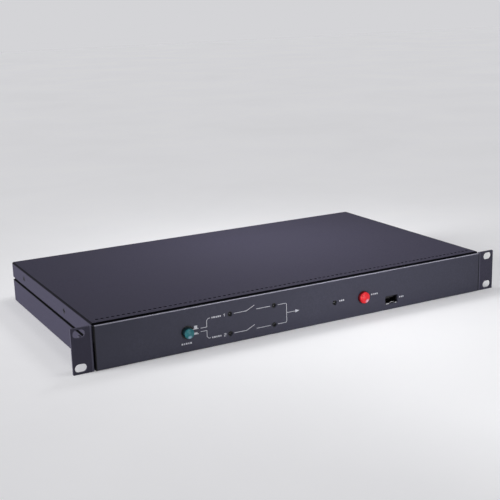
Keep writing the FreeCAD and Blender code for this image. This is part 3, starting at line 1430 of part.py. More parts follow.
def pin_places(centre_x):
    """X and Z of the line, neutral and earth pins of an inlet."""
    low = REAR_CENTRE - PIN_RISE
    places = [(centre_x - PIN_SPACING / 2, low), (centre_x + PIN_SPACING / 2, low)]
    places.append((centre_x, REAR_CENTRE + PIN_RISE))
    return places


def inlet_pins(centre_x):
    """Three flat pins that run through the inlet's back wall to the wiring."""
    span = (PANEL_OUTER - INLET_LENGTH - PIN_TAIL, PANEL_OUTER + FLANGE_SHEET - PIN_TIP_RECESS)
    pins = []
    for x, z in pin_places(centre_x):
        pin = block(around(x, PIN[0]), span, around(z, PIN[1]))
        pins.append(pin)
    return Part.makeCompound(pins)


def inlet(centre_x):
    """Panel inlet: a flanged housing with a deep cavity round its pins."""
    flange = panel_block(
        centre_x, REAR_CENTRE, INLET_FLANGE, (PANEL_OUTER, PANEL_OUTER + FLANGE_SHEET), CORNER
    )
    body_span = (PANEL_OUTER - INLET_LENGTH, PANEL_OUTER + FLANGE_SHEET)
    body = panel_block(centre_x, REAR_CENTRE, INLET_BODY, body_span, CORNER)
    mouth = PANEL_OUTER + FLANGE_SHEET
    cavity_span = (mouth - INLET_CAVITY_DEPTH, mouth + OVERCUT)
    cavity = panel_block(centre_x, REAR_CENTRE, INLET_CAVITY, cavity_span, CORNER)
    housing = fused([flange, body]).cut(cavity)
    return housing.cut(inlet_pins(centre_x))


def outlet(centre_x, flange_size, body_size, groove_size, core_size, contact_shares):
    """Panel outlet: a flanged housing with a groove round a core that has three contact slots."""
    mouth = PANEL_OUTER + FLANGE_SHEET
    flange = panel_block(centre_x, REAR_CENTRE, flange_size, (PANEL_OUTER, mouth), CORNER)
    body_span = (PANEL_OUTER - OUTLET_LENGTH, mouth)
    body = panel_block(centre_x, REAR_CENTRE, body_size, body_span, CORNER)
    groove_span = (mouth - GROOVE_DEPTH, mouth)
    groove = panel_block(centre_x, REAR_CENTRE, groove_size, groove_span, CORNER)
    core = panel_block(centre_x, REAR_CENTRE, core_size, groove_span, CORE_CORNER)
    housing = fused([flange, body]).cut(groove.cut(core))
    width, height = (size * share for size, share in zip(core_size, contact_shares))
    reach, rise = (size * share for size, share in zip(core_size, CONTACT_SPREAD_SHARES))
    slot_span = (mouth - GROOVE_DEPTH, mouth + OVERCUT)
    tools = []
    for x, z in ((-reach, -rise), (reach, -rise), (0, rise)):
        tools.append(block(around(centre_x + x, width), slot_span, around(REAR_CENTRE + z, height)))
    return cut_all(housing, tools)


def breaker(centre_x):
    """Thermal breaker: a body behind the panel with a round neck through it."""
    span = (PANEL_INNER - BREAKER_LENGTH, PANEL_INNER)
    body = block(around(centre_x, BREAKER_WIDTH), span, around(REAR_CENTRE, BREAKER_HEIGHT))
    body = round_edges(body, BREAKER_EDGE, Y, lambda middle: True)
    neck_end = PANEL_OUTER + NECK_LENGTH
    neck = rod(NECK_RADIUS, Vector(centre_x, PANEL_INNER, REAR_CENTRE), Y, neck_end - PANEL_INNER)
    start = Vector(centre_x, neck_end - TRIP_TAIL - OVERCUT, REAR_CENTRE)
    bore = rod(TRIP_RADIUS + TRIP_CLEARANCE, start, Y, TRIP_TAIL + 2 * OVERCUT)
    return fused([body, neck]).cut(bore)


def breaker_nuts():
    """Hexagonal nuts that clamp the breakers' necks."""
    nuts = []
    for name in BREAKERS:
        start = Vector(PLACES[name], PANEL_OUTER, REAR_CENTRE)
        bore = NECK_RADIUS + TAP_CLEARANCE
        nuts.append(hexagon(BREAKER_NUT_RADIUS, start, Y, BREAKER_NUT_SHEET, bore))
    return Part.makeCompound(nuts)


def trip_button(centre_x):
    """Breaker button, shown pressed home. It pops out when the breaker trips."""
    end = PANEL_OUTER + NECK_LENGTH + TRIP_PROUD
    start = Vector(centre_x, PANEL_OUTER + NECK_LENGTH - TRIP_TAIL, REAR_CENTRE)
    button = rod(TRIP_RADIUS, start, Y, end - start.y)
    rim = [edge for edge in button.Edges if abs(edge.CenterOfMass.y - end) < 1e-6]
    return button.makeFillet(TRIP_EDGE, rim)


def earth_stud():
    """Earth stud: a shank clamped in the rear panel and a thinner free end for the earth lead."""
    start = Vector(PLACES["earth"], PANEL_INNER - EARTH_NUT_SHEET - EARTH_SHANK_TAIL, EARTH_HEIGHT)
    step = Vector(start.x, PANEL_OUTER + EARTH_NUT_SHEET, start.z)
    shank = rod(EARTH_SHANK_RADIUS, start, Y, step.y - start.y)
    return fused([shank, rod(EARTH_RADIUS, step, Y, EARTH_FREE_LENGTH)])


def earth_nuts():
    """Nuts on the earth stud, inside and outside the rear panel."""
    bore = EARTH_SHANK_RADIUS + TAP_CLEARANCE
    nuts = []
    for low in (PANEL_INNER - EARTH_NUT_SHEET, PANEL_OUTER):
        start = Vector(PLACES["earth"], low, EARTH_HEIGHT)
        nuts.append(hexagon(EARTH_NUT_RADIUS, start, Y, EARTH_NUT_SHEET, bore))
    return Part.makeCompound(nuts)


def build():
    """Every piece of the switch, by name."""
    control_span = around(CONTROL_BOARD_X, CONTROL_BOARD_WIDTH)
    control_depth = (CONTROL_FRONT, CONTROL_FRONT + CONTROL_LENGTH)
    pieces = {
        "chassis_tray": chassis_tray(),
        "top_cover": top_cover(),
        "rack_ear_left": rack_ear(-1),
        "rack_ear_right": rack_ear(1),
        "ear_screws": ear_screws(),
        "cover_screws": cover_screws(),
        "floor_screws": floor_screws(),
        "front_fascia": front_fascia(),
        "fascia_nuts": fascia_nuts(),
        "fascia_print": fascia_print(),
        "source_select_button": push_button(SELECT_X, SELECT_RADIUS, SELECT_PROUD),
        "source_select_switch": push_switch(SELECT_X, SELECT_RADIUS),
        "reset_button": push_button(RESET_X, RESET_RADIUS, RESET_PROUD),
        "reset_switch": push_switch(RESET_X, RESET_RADIUS),
        "lamp_holders": lamp_holders(),
        "mimic_lamps": lamps("mimic"),
        "fault_lamp": lamps("fault"),
        "service_socket_shell": socket_shell(),
        "service_socket_tongue": socket_tongue(),
        "display_board": display_board(),
        "display_spacers": display_spacers(),
        "board_screws": board_screws(),
        "floor_spacers": floor_spacers(),
        "control_board": flat_board(control_span, control_depth),
        "control_chips": control_chips(),
        "ribbon_headers": headers(),
        "ribbon_cable": ribbon_cable(),
        "power_board": flat_board((POWER_LEFT, POWER_RIGHT), (POWER_FRONT, POWER_REAR)),
        "isolating_relays": relays(),
        "film_capacitors": film_capacitors(),
        "reservoir_capacitors": reservoir_capacitors(),
        "terminal_blocks": terminal_blocks(),
        "mains_wiring": wiring(),
        "control_transformers": control_transformers(),
        "current_sensors": current_sensors(),
        "heat_sink": heat_sink(),
        "thyristor_modules": thyristor_modules(),
        "module_screws": module_screws(),
        "rear_panel": rear_panel(),
        "fan_screws": fan_screws(),
        "breaker_nuts": breaker_nuts(),
        "earth_stud": earth_stud(),
        "earth_nuts": earth_nuts(),
    }
    for name in FANS:
        pieces[f"{name}_frame"] = fan_frame(PLACES[name])
        pieces[f"{name}_rotor"] = fan_rotor(PLACES[name])
    pieces["fan_guards"] = Part.makeCompound([fan_guard(PLACES[name]) for name in FANS])
    for name in INLETS:
        pieces[name] = inlet(PLACES[name])
        pieces[f"{name}_pins"] = inlet_pins(PLACES[name])
    for name in BREAKERS:
        pieces[name] = breaker(PLACES[name])
        pieces[f"{name}_button"] = trip_button(PLACES[name])
    small = (OUTLET_FLANGE, OUTLET_BODY, OUTLET_GROOVE, OUTLET_CORE, OUTLET_CONTACT_SHARES)
    large = (INLET_FLANGE, LARGE_OUTLET_BODY, LARGE_OUTLET_GROOVE, LARGE_OUTLET_CORE)
    pieces["outlets"] = Part.makeCompound([outlet(PLACES[name], *small) for name in OUTLETS])
    pieces["large_outlet"] = outlet(PLACES["large_outlet"], *large, LARGE_CONTACT_SHARES)
    return pieces


def export(pieces):
    """Writes one STEP file for each piece."""
    os.makedirs("parts", exist_ok=True)
    for name, shape in pieces.items():
        shape.exportStep(f"parts/{name}.step")


PIECES = build()
export(PIECES)
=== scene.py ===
"""Dresses the rack static transfer switch: finishes, fine detail, studio and camera.

The folded case, the fascia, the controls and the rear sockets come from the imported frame. This script
gives each of them its finish, adds the detail that is finer than the frame's solids, and sets up the
studio. Lengths are in metres, +X is to the right seen from the front and +Y goes to the rear.
"""

import json
import logging
import math
from dataclasses import asdict, dataclass
from enum import Enum
from typing import Callable, Iterable, Sequence

import bmesh
import bpy
from mathutils import Matrix, Vector

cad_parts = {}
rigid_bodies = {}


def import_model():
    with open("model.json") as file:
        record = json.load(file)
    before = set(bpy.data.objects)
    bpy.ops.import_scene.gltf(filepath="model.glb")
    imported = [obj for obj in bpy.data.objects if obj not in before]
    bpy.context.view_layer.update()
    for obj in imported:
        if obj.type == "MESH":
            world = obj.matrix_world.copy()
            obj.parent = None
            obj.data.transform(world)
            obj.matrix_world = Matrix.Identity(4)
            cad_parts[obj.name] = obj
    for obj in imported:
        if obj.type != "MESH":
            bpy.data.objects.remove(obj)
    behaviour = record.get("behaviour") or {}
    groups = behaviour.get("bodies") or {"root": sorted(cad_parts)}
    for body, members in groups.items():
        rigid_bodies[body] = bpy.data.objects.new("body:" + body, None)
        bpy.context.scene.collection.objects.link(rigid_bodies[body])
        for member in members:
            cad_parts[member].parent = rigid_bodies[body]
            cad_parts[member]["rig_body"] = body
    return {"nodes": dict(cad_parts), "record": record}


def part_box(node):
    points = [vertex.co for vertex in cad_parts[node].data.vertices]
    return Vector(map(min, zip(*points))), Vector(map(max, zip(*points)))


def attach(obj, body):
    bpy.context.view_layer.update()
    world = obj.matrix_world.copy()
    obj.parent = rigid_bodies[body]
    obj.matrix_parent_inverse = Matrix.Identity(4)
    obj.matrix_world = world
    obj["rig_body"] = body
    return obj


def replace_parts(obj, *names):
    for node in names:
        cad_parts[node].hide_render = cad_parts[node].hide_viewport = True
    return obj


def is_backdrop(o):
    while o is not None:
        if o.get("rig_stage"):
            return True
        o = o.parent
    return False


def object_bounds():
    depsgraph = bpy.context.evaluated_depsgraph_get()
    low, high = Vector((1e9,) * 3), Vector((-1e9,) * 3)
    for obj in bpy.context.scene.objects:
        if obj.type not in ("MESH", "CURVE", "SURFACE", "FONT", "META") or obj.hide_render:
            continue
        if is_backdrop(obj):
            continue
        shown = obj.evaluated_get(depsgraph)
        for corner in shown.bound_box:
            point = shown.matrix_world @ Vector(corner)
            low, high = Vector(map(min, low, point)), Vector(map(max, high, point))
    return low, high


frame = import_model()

LOG = logging.getLogger("transfer_switch")
MM = 0.001
FULL_TURN = 2 * math.pi
MERGE_DISTANCE = 0.0005 * MM
SHARP_ANGLE = math.radians(32)
Colour = tuple[int, int, int]
Pair = tuple[float, float]
Place = tuple[float, float, float]
Node, Socket, Tree = bpy.types.Node, bpy.types.NodeSocket, bpy.types.NodeTree
Piece, Mesh = bpy.types.Object, bmesh.types.BMesh
# A Mix node's two colour inputs and its colour output, which share their names with other types
MIX_LOW, MIX_HIGH, MIX_RESULT = 6, 7, 2


def linear(colour: Colour) -> tuple[float, float, float, float]:
    """Turns a display colour into the linear values that shaders take.

    Args:
        colour: Red, green and blue from 0 to 255.

    Returns:
        The three linear values from 0 to 1, and 1 for an opaque colour.
    """
    def channel(value: int) -> float:
        """Gives the linear value of one channel."""
        part = value / 255
        return part / 12.92 if part <= 0.04045 else ((part + 0.055) / 1.055) ** 2.4

    return (*map(channel, colour), 1.0)


class NodeSheet:
    """Adds shader nodes to one tree and joins them."""

    def __init__(self, tree: Tree) -> None:
        """Keeps the tree that the nodes go on."""
        self.tree = tree

    @staticmethod
    def fill(node: Node, inputs: dict[str, object]) -> Node:
        """Sets a node's unlinked inputs.

        Args:
            node: The node.
            inputs: Values by input name, with underscores for spaces.

        Returns:
            The node.
        """
        for name, value in inputs.items():
            node.inputs[name.replace("_", " ")].default_value = value
        return node

    def add(self, kind: str, **inputs: object) -> Node:
        """Adds a node of a type and sets its unlinked inputs."""
        return self.fill(self.tree.nodes.new(kind), inputs)

    def join(self, source: Socket, target: Socket) -> None:
        """Joins an output to an input."""
        self.tree.links.new(source, target)

    def feed(self, node: Node, values: Iterable[object]) -> None:
        """Gives a node's first inputs a socket to follow or a value of their own.

        Args:
            node: The node.
            values: A socket or a value for each input.
        """
        for socket, value in zip(node.inputs, values):
            if isinstance(value, Socket):
                self.join(value, socket)
            else:
                socket.default_value = value

    def place(self, group: Tree, **inputs: object) -> Node:
        """Places a shared node group and sets its unlinked inputs.

        Args:
            group: The group's tree.
            inputs: Values by input name, with underscores for spaces.

        Returns:
            The group's node on this sheet.
        """
        node = self.add("ShaderNodeGroup")
        node.node_tree = group
        return self.fill(node, inputs)

    def maths(self, operation: str, first: object, second: object) -> Socket:
        """Adds a Math node.

        Args:
            operation: Blender's name for the operation.
            first: A socket or a number.
            second: A socket or a number.

        Returns:
            The result's socket.
        """
        node = self.add("ShaderNodeMath")
        node.operation = operation
        self.feed(node, (first, second))
        return node.outputs[0]

    def vectors(self, operation: str, *values: object) -> Socket:
        """Adds a Vector Math node.

        Args:
            operation: Blender's name for the operation.
            values: Sockets, or vectors as tuples.

        Returns:
            The result's socket, a value for a distance and a vector otherwise.
        """
        node = self.add("ShaderNodeVectorMath")
        node.operation = operation
        self.feed(node, values)
        return node.outputs["Value" if operation == "DISTANCE" else "Vector"]

    def axes(self, vector: Socket) -> bpy.types.bpy_prop_collection:
        """Splits a vector.

        Args:
            vector: The vector's socket.

        Returns:
            The sockets X, Y and Z.
        """
        node = self.add("ShaderNodeSeparateXYZ")
        self.join(vector, node.inputs[0])
        return node.outputs

    def noise(self, place: Socket, scale: Socket, **inputs: object) -> Socket:
        """Adds a noise texture.

        Args:
            place: The position's socket.
            scale: The scale's socket.
            inputs: Values of its other inputs.

        Returns:
            The noise's socket.
        """
        node = self.add("ShaderNodeTexNoise", **inputs)
        self.join(place, node.inputs["Vector"])
        self.join(scale, node.inputs["Scale"])
        return node.outputs[0]

    def blend(self, factor: Socket, low: object, high: Colour) -> Socket:
        """Blends two colours by a mask.

        Args:
            factor: The mask's socket.
            low: Colour, or a colour's socket, where the mask is 0.
            high: Colour where the mask is 1.

        Returns:
            The blended colour's socket.
        """
        node = self.add("ShaderNodeMix")
        node.data_type = "RGBA"
        self.join(factor, node.inputs["Factor"])
        if isinstance(low, Socket):
            self.join(low, node.inputs[MIX_LOW])
        else:
            node.inputs[MIX_LOW].default_value = linear(low)
        node.inputs[MIX_HIGH].default_value = linear(high)
        return node.outputs[MIX_RESULT]

    def ramp(
        self, value: Socket, source: Pair = (0.0, 1.0), target: Pair = (0.0, 1.0), kind: str = "LINEAR"
    ) -> Socket:
        """Maps a range of a value onto another range.

        Args:
            value: The value's socket.
            source: The value at both ends.
            target: The result at both ends.
            kind: Blender's name for the way between the ends.

        Returns:
            The mapped value's socket.
        """
        limits = dict(zip(("From_Min", "From_Max", "To_Min", "To_Max"), source + target))
        node = self.add("ShaderNodeMapRange", **limits)
        node.interpolation_type = kind
        self.join(value, node.inputs["Value"])
        return node.outputs["Result"]

    def seen_directly(self) -> Socket:
        """Tells what is seen from what only gives light.

        Returns:
            A socket with 1 for what the camera sees, also in a mirror or through glass, and 0 for light.
        """
        path = self.add("ShaderNodeLightPath").outputs
        seen = self.maths("MAXIMUM", path["Is Camera Ray"], path["Is Transmission Ray"])
        return self.maths("MAXIMUM", seen, path["Is Glossy Ray"])


class Effect(Enum):
    """Surface effects that several finishes share."""

    GRAIN = "fine grain"
    STREAKS = "brushed streaks"
    UNEVEN = "uneven sheen"
    ZONE = "soft zone"


class EffectShelf:
    """Builds each shared effect once, as a shader node group."""

    def __init__(self) -> None:
        """Starts with no groups."""
        self.groups: dict[Effect, Tree] = {}

    def get(self, effect: Effect) -> Tree:
        """Gives an effect's node group, and builds it the first time.

        Args:
            effect: The wanted effect.

        Returns:
            The node group.
        """
        if effect not in self.groups:
            makers = {
                Effect.GRAIN: self._grain,
                Effect.STREAKS: self._streaks,
                Effect.UNEVEN: self._uneven,
                Effect.ZONE: self._zone,
            }
            self.groups[effect] = makers[effect]()
        return self.groups[effect]

    @staticmethod
    def _open(effect: Effect, numbers: dict[str, float], results: Sequence[str]) -> tuple:
        """Starts a group that reads a position and some numbers.

        Args:
            effect: The effect that it builds.
            numbers: Number inputs with their defaults.
            results: Names of the value outputs.

        Returns:
            The sheet, the group's input node and its output node.
        """
        tree = bpy.data.node_groups.new(effect.value, "ShaderNodeTree")
        tree.interface.new_socket("Vector", in_out="INPUT", socket_type="NodeSocketVector")
        for label, default in numbers.items():
            socket = tree.interface.new_socket(label, in_out="INPUT", socket_type="NodeSocketFloat")
            socket.default_value = default
        for label in results:
            tree.interface.new_socket(label, in_out="OUTPUT", socket_type="NodeSocketFloat")
        sheet = NodeSheet(tree)
        return sheet, sheet.add("NodeGroupInput"), sheet.add("NodeGroupOutput")

    def _grain(self) -> Tree:
        """Builds the small lumps of powder coat and moulded plastic.

        Returns:
            A group with Height and Tone.
        """
        sheet, start, end = self._open(Effect.GRAIN, {"Scale": 900.0, "Coarse": 0.25}, ("Height", "Tone"))
        place, scale = start.outputs["Vector"], start.outputs["Scale"]
        wide = sheet.maths("MULTIPLY", scale, start.outputs["Coarse"])
        fine = sheet.noise(place, scale, Detail=3.0, Roughness=0.55)
        broad = sheet.noise(place, wide, Detail=2.0, Roughness=0.5)
        height = sheet.maths("ADD", fine, broad)
        sheet.join(sheet.maths("MULTIPLY", height, 0.5), end.inputs["Height"])
        sheet.join(sheet.ramp(broad, (0.35, 0.65)), end.inputs["Tone"])
        return sheet.tree

    def _streaks(self) -> Tree:
        """Builds the fine lines of drawn or brushed metal, along X.

        Returns:
            A group with Height and Tone.
        """
        sheet, start, end = self._open(
            Effect.STREAKS, {"Scale": 1500.0, "Stretch": 0.03}, ("Height", "Tone")
        )
        squeeze = sheet.add("ShaderNodeCombineXYZ", Y=1.0, Z=1.0)
        sheet.join(start.outputs["Stretch"], squeeze.inputs["X"])
        scaled = sheet.vectors("MULTIPLY", start.outputs["Vector"], squeeze.outputs[0])
        lines = sheet.noise(scaled, start.outputs["Scale"], Detail=4.0, Roughness=0.6)
        for label in ("Height", "Tone"):
            sheet.join(lines, end.inputs[label])
        return sheet.tree

    def _uneven(self) -> Tree:
        """Builds the slow change of sheen over a large surface.

        Returns:
            A group with Amount, from 0 to 1.
        """
        sheet, start, end = self._open(Effect.UNEVEN, {"Scale": 14.0}, ("Amount",))
        cloud = sheet.noise(
            start.outputs["Vector"], start.outputs["Scale"], Detail=5.0, Roughness=0.62, Distortion=0.4
        )
        sheet.join(sheet.ramp(cloud, (0.3, 0.7)), end.inputs["Amount"])
        return sheet.tree

    def _zone(self) -> Tree:
        """Builds the mask of a box with soft sides, which is mirrored about X = 0.

        Returns:
            A group with Amount, 1 inside the box and 0 outside.
        """
        sheet, start, end = self._open(Effect.ZONE, {"Edge": 0.1 * MM}, ("Amount",))
        for label in ("Centre", "Half Size"):
            sheet.tree.interface.new_socket(label, in_out="INPUT", socket_type="NodeSocketVector")
        place = sheet.axes(start.outputs["Vector"])
        folded = sheet.add("ShaderNodeCombineXYZ")
        sheet.join(sheet.maths("ABSOLUTE", place["X"], 0.0), folded.inputs["X"])
        for axis in "YZ":
            sheet.join(place[axis], folded.inputs[axis])
        away = sheet.vectors("SUBTRACT", folded.outputs[0], start.outputs["Centre"])
        away = sheet.vectors("ABSOLUTE", away)
        away = sheet.vectors("SUBTRACT", away, start.outputs["Half Size"])
        sides = sheet.axes(away)
        furthest = sheet.maths("MAXIMUM", sides["X"], sides["Y"])
        furthest = sheet.maths("MAXIMUM", furthest, sides["Z"])
        depth = sheet.maths("DIVIDE", furthest, start.outputs["Edge"])
        sheet.join(sheet.ramp(depth, (0.0, -1.0)), end.inputs["Amount"])
        return sheet.tree


EFFECTS = EffectShelf()


@dataclass(frozen=True)
class Finish:
    """A plain coloured finish with an even grain, the base of all others."""

    name: str
    colour: Colour
    light: Colour
    roughness: Pair = (0.45, 0.6)
    grain_scale: float = 900.0
    grain_depth: float = 0.02 * MM
    coarse: float = 0.25
    specular: float = 0.5
    coat: float = 0.0
    metallic: float = 0.0

    def material(self) -> bpy.types.Material:
        """Builds the finish as a material.

        Returns:
            The material.
        """
        made = bpy.data.materials.new(self.name)
        made.use_nodes = True
        sheet = NodeSheet(made.node_tree)
        shader = made.node_tree.nodes["Principled BSDF"]
        shader.inputs["Specular IOR Level"].default_value = self.specular
        shader.inputs["Coat Weight"].default_value = self.coat
        shader.inputs["Metallic"].default_value = self.metallic
        place = sheet.add("ShaderNodeTexCoord").outputs["Object"]
        self.dress(sheet, shader, place)
        made.diffuse_color = linear(self.colour)
        return made

    def dress(self, sheet: NodeSheet, shader: Node, place: Socket) -> None:
        """Feeds the shader its colour, sheen and grain.

        Args:
            sheet: The material's nodes.
            shader: The Principled shader.
            place: The position on the piece.
        """
        grain = sheet.place(EFFECTS.get(Effect.GRAIN), Scale=self.grain_scale, Coarse=self.coarse)
        uneven = sheet.place(EFFECTS.get(Effect.UNEVEN))
        for group in (grain, uneven):
            sheet.join(place, group.inputs["Vector"])
        mask = sheet.maths("MULTIPLY", grain.outputs["Tone"], uneven.outputs["Amount"])
        sheet.join(sheet.blend(mask, self.colour, self.light), shader.inputs["Base Color"])
        sheen = sheet.ramp(uneven.outputs["Amount"], target=self.roughness)
        sheet.join(sheen, shader.inputs["Roughness"])
        self.bump(sheet, shader, grain.outputs["Height"])

    def bump(self, sheet: NodeSheet, shader: Node, height: Socket) -> None:
        """Raises the surface by a height.

        Args:
            sheet: The material's nodes.
            shader: The Principled shader.
            height: The height's socket.
        """
        node = sheet.add("ShaderNodeBump", Strength=1.0, Distance=self.grain_depth)
        sheet.join(height, node.inputs["Height"])
        sheet.join(node.outputs["Normal"], shader.inputs["Normal"])


@dataclass(frozen=True)
class DrawnMetal(Finish):
    """Bare or plated metal with fine drawn lines."""

    metallic: float = 1.0
    stretch: float = 0.03

    def dress(self, sheet: NodeSheet, shader: Node, place: Socket) -> None:
        """Feeds the shader its lines, tone and sheen.

        Args:
            sheet: The material's nodes.
            shader: The Principled shader.
            place: The position on the piece.
        """
        lines = sheet.place(EFFECTS.get(Effect.STREAKS), Scale=self.grain_scale, Stretch=self.stretch)
        sheet.join(place, lines.inputs["Vector"])
        sheet.join(sheet.blend(lines.outputs["Tone"], self.colour, self.light), shader.inputs["Base Color"])
        sheen = sheet.ramp(lines.outputs["Tone"], target=self.roughness)
        sheet.join(sheen, shader.inputs["Roughness"])
        self.bump(sheet, shader, lines.outputs["Height"])


@dataclass(frozen=True)
class BoardLacquer(Finish):
    """Circuit board lacquer with paler copper runs under it."""

    run_pitch: float = 260.0
    run_edge: Pair = (0.42, 0.5)

    def dress(self, sheet: NodeSheet, shader: Node, place: Socket) -> None:
        """Feeds the shader the runs and the lacquer's sheen.

        Args:
            sheet: The material's nodes.
            shader: The Principled shader.
            place: The position on the piece.
        """
        cells = sheet.add("ShaderNodeTexVoronoi", Scale=self.run_pitch, Randomness=0.65)
        cells.distance = "MANHATTAN"
        sheet.join(place, cells.inputs["Vector"])
        mask = sheet.ramp(cells.outputs["Distance"], self.run_edge)
        sheet.join(sheet.blend(mask, self.colour, self.light), shader.inputs["Base Color"])
        sheet.join(sheet.ramp(mask, target=self.roughness), shader.inputs["Roughness"])
        self.bump(sheet, shader, mask)


@dataclass(frozen=True)
class Mark:
    """A zone of a painted sheet with a tone of its own, which paints shade or a highlight there."""

    centre: Place
    half_size: Place
    edge: float
    colour: Colour


@dataclass(frozen=True)
class MarkedPaint(Finish):
    """Paint with marks of painted shade in folds, gaps and edges, and of painted highlight on rounded
    edges.
    """

    marks: tuple[Mark, ...] = ()

    def dress(self, sheet: NodeSheet, shader: Node, place: Socket) -> None:
        """Feeds the shader the paint with its marks of painted shade and painted highlight.

        Args:
            sheet: The material's nodes.
            shader: The Principled shader.
            place: The position on the sheet.
        """
        super().dress(sheet, shader, place)
        tone = shader.inputs["Base Color"].links[0].from_socket
        for mark in self.marks:
            zone = sheet.place(
                EFFECTS.get(Effect.ZONE), Centre=mark.centre, Half_Size=mark.half_size, Edge=mark.edge
            )
            sheet.join(place, zone.inputs["Vector"])
            tone = sheet.blend(zone.outputs["Amount"], tone, mark.colour)
        sheet.join(tone, shader.inputs["Base Color"])


@dataclass(frozen=True)
class DomedMoulding(Finish):
    """Moulding with painted shade on its side and a painted highlight low on its dome."""

    # The centre, reach and heart place the painted highlight; the side colour is painted shade on the cap's
    # side, between two Y ends.
    centre: Place = (0.0, 0.0, 0.0)
    reach: float = 3.0 * MM
    heart: float = 0.2
    painted_highlight: Colour = (188, 188, 188)
    side: Colour = (89, 89, 89)
    side_shade_ends: Pair = (0.0, 1.0)

    def dress(self, sheet: NodeSheet, shader: Node, place: Socket) -> None:
        """Feeds the shader the moulding's colour, with painted shade on its side and a painted highlight on
        its dome.

        Args:
            sheet: The material's nodes.
            shader: The Principled shader.
            place: The position on the cap.
        """
        super().dress(sheet, shader, place)
        tone = shader.inputs["Base Color"].links[0].from_socket
        away = sheet.vectors("DISTANCE", place, self.centre)
        # Painted shade grows along Y over the side, and a painted highlight grows towards the spot on the
        # dome.
        ramps = (
            (sheet.axes(place)["Y"], self.side_shade_ends, self.side),
            (away, (self.reach, self.reach * self.heart), self.painted_highlight),
        )
        for value, ends, colour in ramps:
            amount = sheet.ramp(value, ends, kind="SMOOTHSTEP")
            tone = sheet.blend(amount, tone, colour)
        sheet.join(tone, shader.inputs["Base Color"])


@dataclass(frozen=True)
class PaleFloor(Finish):
    """Seamless pale studio paper, a little paler to look at than as a light on the object."""

    cloud_scale: float = 3.0
    lift: float = 0.24

    def dress(self, sheet: NodeSheet, shader: Node, place: Socket) -> None:
        """Feeds the shader the paper's faint tone.

        Args:
            sheet: The material's nodes.
            shader: The Principled shader.
            place: The position on the paper.
        """
        uneven = sheet.place(EFFECTS.get(Effect.UNEVEN), Scale=self.cloud_scale)
        sheet.join(place, uneven.inputs["Vector"])
        amount = uneven.outputs["Amount"]
        tone = sheet.blend(amount, self.colour, self.light)
        sheet.join(tone, shader.inputs["Base Color"])
        sheet.join(sheet.ramp(amount, target=self.roughness), shader.inputs["Roughness"])
        sheet.join(tone, shader.inputs["Emission Color"])
        lift = sheet.ramp(sheet.seen_directly(), target=(0.0, self.lift))
        sheet.join(lift, shader.inputs["Emission Strength"])


COVER_NEAR, COVER_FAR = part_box("top_cover")
FASCIA_NEAR, FASCIA_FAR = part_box("front_fascia")
EAR_NEAR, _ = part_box("rack_ear_right")
# Painted shade for the dark line along the cover's fold between its top and its side.
PAINTED_FOLD_SHADE = (20, 19, 25)
# Painted shade for the seam gap, the walls of the vent slots, the cover's front edge and the gaps at the
# fascia's ends.
PAINTED_GAP_SHADE = (16, 16, 19)
# Painted highlight along the fascia's rounded top edge.
PAINTED_EDGE_HIGHLIGHT = (166, 165, 180)
# Painted highlight on the rounded bend of each ear.
PAINTED_BEND_HIGHLIGHT = (98, 97, 114)
BACKGROUND = (212, 212, 215)
SHEET = 1.2 * MM
EVERYWHERE = 1.0
SEAM_GAP, SEAM_OVERLAP, SEAM_DEPTH = 2.6 * MM, 0.9 * MM, 4 * MM
FOLD_REACH = 1.9 * MM
VENT_ROW_DEPTH, VENT_REACH, VENT_SIDE_GAP, VENT_SKIN = 8.0 * MM, 1.4 * MM, 3 * MM, 0.05 * MM
FRONT_EDGE_SHADE_REACH = 0.3 * MM
RIM_DEPTH, RIM_HEIGHT = MM, 0.75 * MM
FASCIA_END_REACH, FASCIA_END_DEPTH = 1.2 * MM, 3 * MM
EAR_BEND_INSET, EAR_BEND_REACH, EAR_BEND_DEPTH = 1.4 * MM, 1.1 * MM, 1.2 * MM


def marked(paint: Finish, name: str, *marks: Mark) -> MarkedPaint:
    """Gives a plain paint another name and some marks."""
    return MarkedPaint(**{**asdict(paint), "name": name}, marks=marks)


# Each finish gives its two tones, its range of roughness, and the scale and depth of its grain.
CASE_PAINT = Finish(
    "case paint", (60, 58, 72), (65, 63, 78), (0.66, 0.74), 1500.0, 0.012 * MM, coarse=0.3, specular=0.04
)
TRAY_PAINT = marked(
    CASE_PAINT, "tray paint",
    # Painted shade in the seam gap below the cover's side flange.
    Mark(
        (COVER_FAR.x, 0.0, COVER_NEAR.z - SEAM_GAP / 2),
        (SEAM_DEPTH, EVERYWHERE, SEAM_GAP / 2 + SEAM_OVERLAP), 0.2 * MM, PAINTED_GAP_SHADE,
    ),
)
COVER_PAINT = marked(
    CASE_PAINT, "cover paint",
    # Painted shade along the fold between the top and the side.
    Mark((COVER_FAR.x, 0.0, COVER_FAR.z), (FOLD_REACH, EVERYWHERE, FOLD_REACH), 0.6 * MM, PAINTED_FOLD_SHADE),
    # Painted shade on the walls of the vent slots.
    Mark(
        (0.0, COVER_NEAR.y + VENT_ROW_DEPTH, COVER_FAR.z - SHEET / 2),
        (COVER_FAR.x - VENT_SIDE_GAP, VENT_REACH, SHEET / 2 - VENT_SKIN), 0.02 * MM, PAINTED_GAP_SHADE,
    ),
    # Painted shade on the cover's front edge.
    Mark(
        (0.0, COVER_NEAR.y, COVER_FAR.z - SHEET / 2), (COVER_FAR.x, FRONT_EDGE_SHADE_REACH, SHEET / 2), 0.05 * MM,
        PAINTED_GAP_SHADE,
    ),
)
